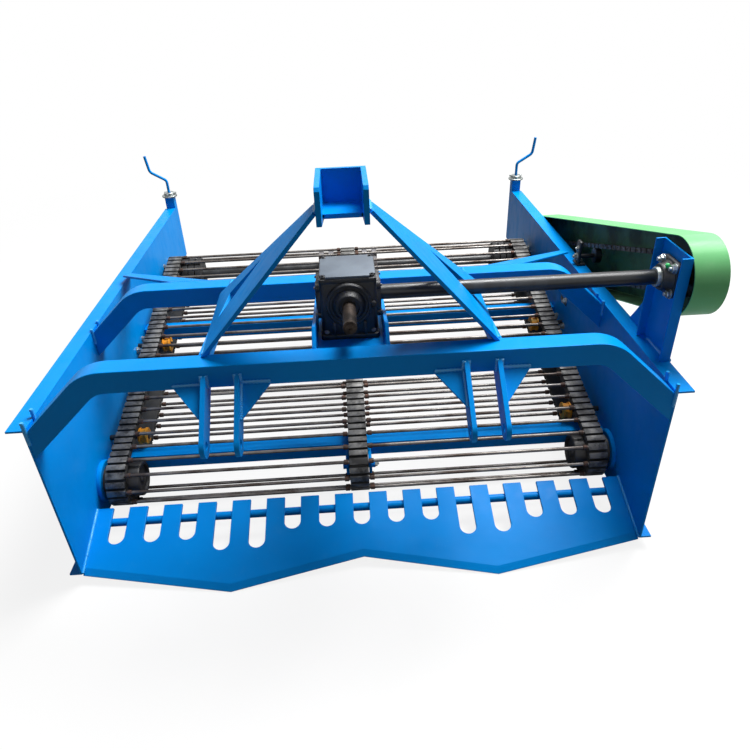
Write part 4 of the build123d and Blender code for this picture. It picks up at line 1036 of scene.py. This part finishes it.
def addAdjusters(values):
    discs, pins = [], []
    for sign in (-1, 1):
        base = (sign * values["x"], values["y"], values["discBase"])
        discs.append(addTurned(base, (0, 0, 1), 40,
                               ((0, 0.030), (0, 0.033), (0.0015, 0.035), (0.0065, 0.035), (0.008, 0.033),
                                (0.008, 0.023), (0.010, 0.024), (0.019, 0.024), (0.021, 0.022),
                                (0.021, 0.008))))
        for turn in values["pinTurns"]:
            out = Vector((math.cos(turn), math.sin(turn), 0))
            spot = Vector(base) + out * values["pinRing"] + Vector((0, 0, values["pinRise"]))
            pins.append(addTurned(spot, out, 10, ((0, 0.0045), (0.010, 0.0045), (0.011, 0.0035))))
    collars = settle(joinPieces(discs + pins), "adjusterDiscs", "zincPlate")
    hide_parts("adjuster_collars")
    rods = []
    for sign in (-1, 1):
        clearSelection()
        bpy.ops.curve.primitive_nurbs_path_add(location=(0, 0, 0))
        path = bpy.context.object
        path.data.splines.clear()
        line = path.data.splines.new("NURBS")
        line.points.add(len(values["path"]) - 1)
        for point, (out, rise) in zip(line.points, values["path"]):
            height = values["discBase"] + values["discHeight"] + rise
            point.co = (sign * (values["x"] + out), values["y"], height, 1)
        line.order_u = 3
        line.use_endpoint_u = True
        path.data.bevel_depth = values["crankRadius"]
        path.data.bevel_resolution = 4
        path.data.use_fill_caps = True
        activate(path)
        bpy.ops.object.convert(target="MESH")
        rods.append(bpy.context.object)
    rodPair = settle(joinPieces(rods), "crankRods", "blueEnamel")
    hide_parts("cranks")
    print("adjusters ready")


addAdjusters(adjusters)

# depth wheels: ribbed tyres on pressed rims
depthWheel = {"x": 0.9575, "y": 1.791, "z": -0.5793, "half": 0.0525, "lugs": 36, "lugOut": 0.0415,
              "lugRing": 0.1910, "bolts": 5, "boltCircle": 0.050, "boltOut": 0.004, "boltAcross": 0.020,
              "lugLow": (-0.007, -0.0045, -0.012), "lugHigh": (0.007, 0.0045, 0.0055)}


def addWheels(values):
    for side, sign in (("left", -1), ("right", 1)):
        centre = (sign * values["x"], values["y"], values["z"])
        start = (centre[0] - values["half"], centre[1], centre[2])
        body = "wheel_" + side
        profile = ((0.0145, 0.103), (0.0120, 0.1165), (0.004, 0.132), (0.0005, 0.150), (0.001, 0.166),
                   (0.005, 0.179), (0.010, 0.184), (0.018, 0.1885), (0.018, 0.1990), (0.030, 0.1995),
                   (0.030, 0.1925), (0.035, 0.1925), (0.035, 0.2), (0.0495, 0.2), (0.0495, 0.193),
                   (0.0555, 0.193), (0.0555, 0.2), (0.070, 0.2), (0.070, 0.1925), (0.075, 0.1925),
                   (0.075, 0.1995), (0.087, 0.1990), (0.087, 0.1885), (0.095, 0.184), (0.100, 0.179),
                   (0.104, 0.166), (0.1045, 0.150), (0.101, 0.132), (0.093, 0.1165), (0.0905, 0.103),
                   (0.0145, 0.103))
        tyre = addTurned(start, (1, 0, 0), 72, profile, hollow=True)
        roundEdges(tyre, 0.0012, 1, 40)
        lugs = []
        master = addBlock(values["lugLow"], values["lugHigh"], 0.0012, 1)
        for number in range(values["lugs"]):
            for end in (-1, 1):
                turn = 2 * math.pi * (number + (0.5 if end > 0 else 0)) / values["lugs"]
                lug = copyTo(master, (0, 0, 0))
                lug.matrix_world = (Matrix.Translation(centre) @ Matrix.Rotation(turn, 4, "X")
                                    @ Matrix.Translation((end * values["lugOut"], 0, values["lugRing"])))
                lugs.append(lug)
        dropMaster(master)
        whole = settle(joinPieces([tyre] + lugs), "ribbedTyre_" + side, "tyreRubber", body)
        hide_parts("tyre_" + side)
        roundedCopy("wheel_rim_" + side, "pressedRim_" + side, "blueEnamel", 0.0012, 2, body)
        rows = []
        ring = values["boltCircle"]
        for number in range(values["bolts"]):
            turn = 2 * math.pi * number / values["bolts"]
            spot = (centre[0] + sign * values["boltOut"], centre[1] + ring * math.cos(turn),
                    centre[2] + ring * math.sin(turn))
            rows.append((spot, (sign, 0, 0), values["boltAcross"]))
        addBolts("wheelBolts_" + side, "zincPlate", rows, body)
        roundedCopy("wheel_leg_" + side, "slidingLeg_" + side, "blueEnamel", 0.0012, 2,
                    "leg_" + side)
    print("wheels ready")


addWheels(depthWheel)

# weld beads: a ribbed bead drawn once, laid end to end along each seam
welds = {"radius": 0.0062, "ripple": 0.0070, "ripples": 8}


def makeWeldMaster(values):
    rings, length = [], values["ripple"] * values["ripples"]
    for step in range(values["ripples"] * 2 + 1):
        swell = 1.0 if step % 2 else 0.72
        rings.append((step * values["ripple"] / 2, values["radius"] * swell))
    return addTurned((0, 0, 0), (0, 0, 1), 8, rings), length


def addWelds(seams):
    master, unit = makeWeldMaster(welds)
    beads = []
    for start, end in seams:
        start, end = Vector(start), Vector(end)
        run = end - start
        count = max(1, round(run.length / unit))
        stretch = run.length / (count * unit)
        for number in range(count):
            place = start + run * (number / count)
            beads.append(copyTo(master, place, run, random.random() * 6,
                                (1 + random.uniform(-0.12, 0.12), 1 + random.uniform(-0.12, 0.12), stretch)))
    dropMaster(master)
    # the beads' paler blue is a painted highlight
    settle(joinPieces(beads), "weldBeads", "weldPaintedHighlight", smooth=60)
    print("welds laid on", len(seams), "seams")


# plain seams, each given by its two ends on the right side and laid on both
sideSeams = (((0.366, 0.030, -0.0655), (0.366, 0.490, -0.0905)),
             ((0.352, 0.030, -0.062), (0.352, 0.470, -0.062)),
             ((0.0575, -0.020, 0.290), (0.0575, 0.045, 0.290)),
             ((0.045, 0.030, 0.265), (0.045, 0.113, 0.265)),
             ((0.087, 0.031, -0.099), (0.087, 0.031, -0.068)),
             ((0.097, 0.031, -0.120), (0.097, 0.031, -0.068)))
seams = []
for sign in (-1, 1):
    for x in (0.2775, 0.3585):
        for face in (-0.006, 0.006):
            seams.append(((sign * x + face, -0.0305, -0.124), (sign * x + face, -0.0305, -0.088)))
        free = sign * (x + (0.006 if x > 0.3 else -0.006))
        out = sign * (1 if x > 0.3 else -1)
        seams.append(((free, -0.031, -0.113), (free + out * 0.072, -0.031, -0.114)))
        seams.append(((free, -0.034, -0.116), (free, -0.106, -0.173)))
    seams.append(((sign * 0.8240, 0.168, -0.6742), (sign * 0.8240, -0.028, -0.7425)))
    for front, top in ((-0.030, -0.240), (0.495, -0.240)):
        for y in (front, front + 0.060):
            seams.append(((sign * 0.8235, y, -0.265), (sign * 0.8235, y, -0.195 if front < 0 else -0.212)))
    for start, end in sideSeams:
        seams.append(((sign * start[0], *start[1:]), (sign * end[0], *end[1:])))
seams.append(((-0.085, 0.032, -0.099), (0.085, 0.032, -0.099)))
seams.append(((0.8735, 0.120, -0.2195), (0.8735, 0.276, -0.2195)))
seams.append(((0.866, 0.144, -0.2195), (0.866, 0.252, -0.2195)))
addWelds(seams)

# bolts on the plates and the guard
plateBolts = [((0.8735, 1.290, -0.26), (1, 0, 0), 0.014)]
for sign in (-1, 1):
    inner = sign * 0.825
    plateBolts += [((inner, y, z), (-sign, 0, 0), 0.020) for y,
                   z in ((0.911, -0.476), (0.826, -0.477), (1.486, -0.375), (1.389, -0.370))]
plateBolts.append(((0.8235, 0.830, -0.372), (-1, 0, 0), 0.020))
addBolts("plateBolts", "zincPlate", plateBolts)
# a thin black sheet on the plate's inner face stands in for the slot: painted shade in place of its dark
# opening
slotShadeSheet = addBlock((0.8240, 0.822, -0.392), (0.8252, 0.892, -0.374), 0.0003)
settle(slotShadeSheet, "adjusterSlotShade", "blackEnamel")
dropMaster(boltMaster)

tubeLow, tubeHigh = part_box("share_tube")
tubeMiddle = ((tubeLow[1] + tubeHigh[1]) / 2, (tubeLow[2] + tubeHigh[2]) / 2)
shareTube = addTurned((-0.825, *tubeMiddle), (1, 0, 0), 28, ((0, 0.0125), (1.65, 0.0125)))
settle(shareTube, "shareTube", "blueEnamel")
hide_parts("share_tube")

plainFinishes = {"drive_bearings": "blackCasting"}
for nodeName, finish in plainFinishes.items():
    finishNode(nodeName, finish)
print("plain pieces finished")
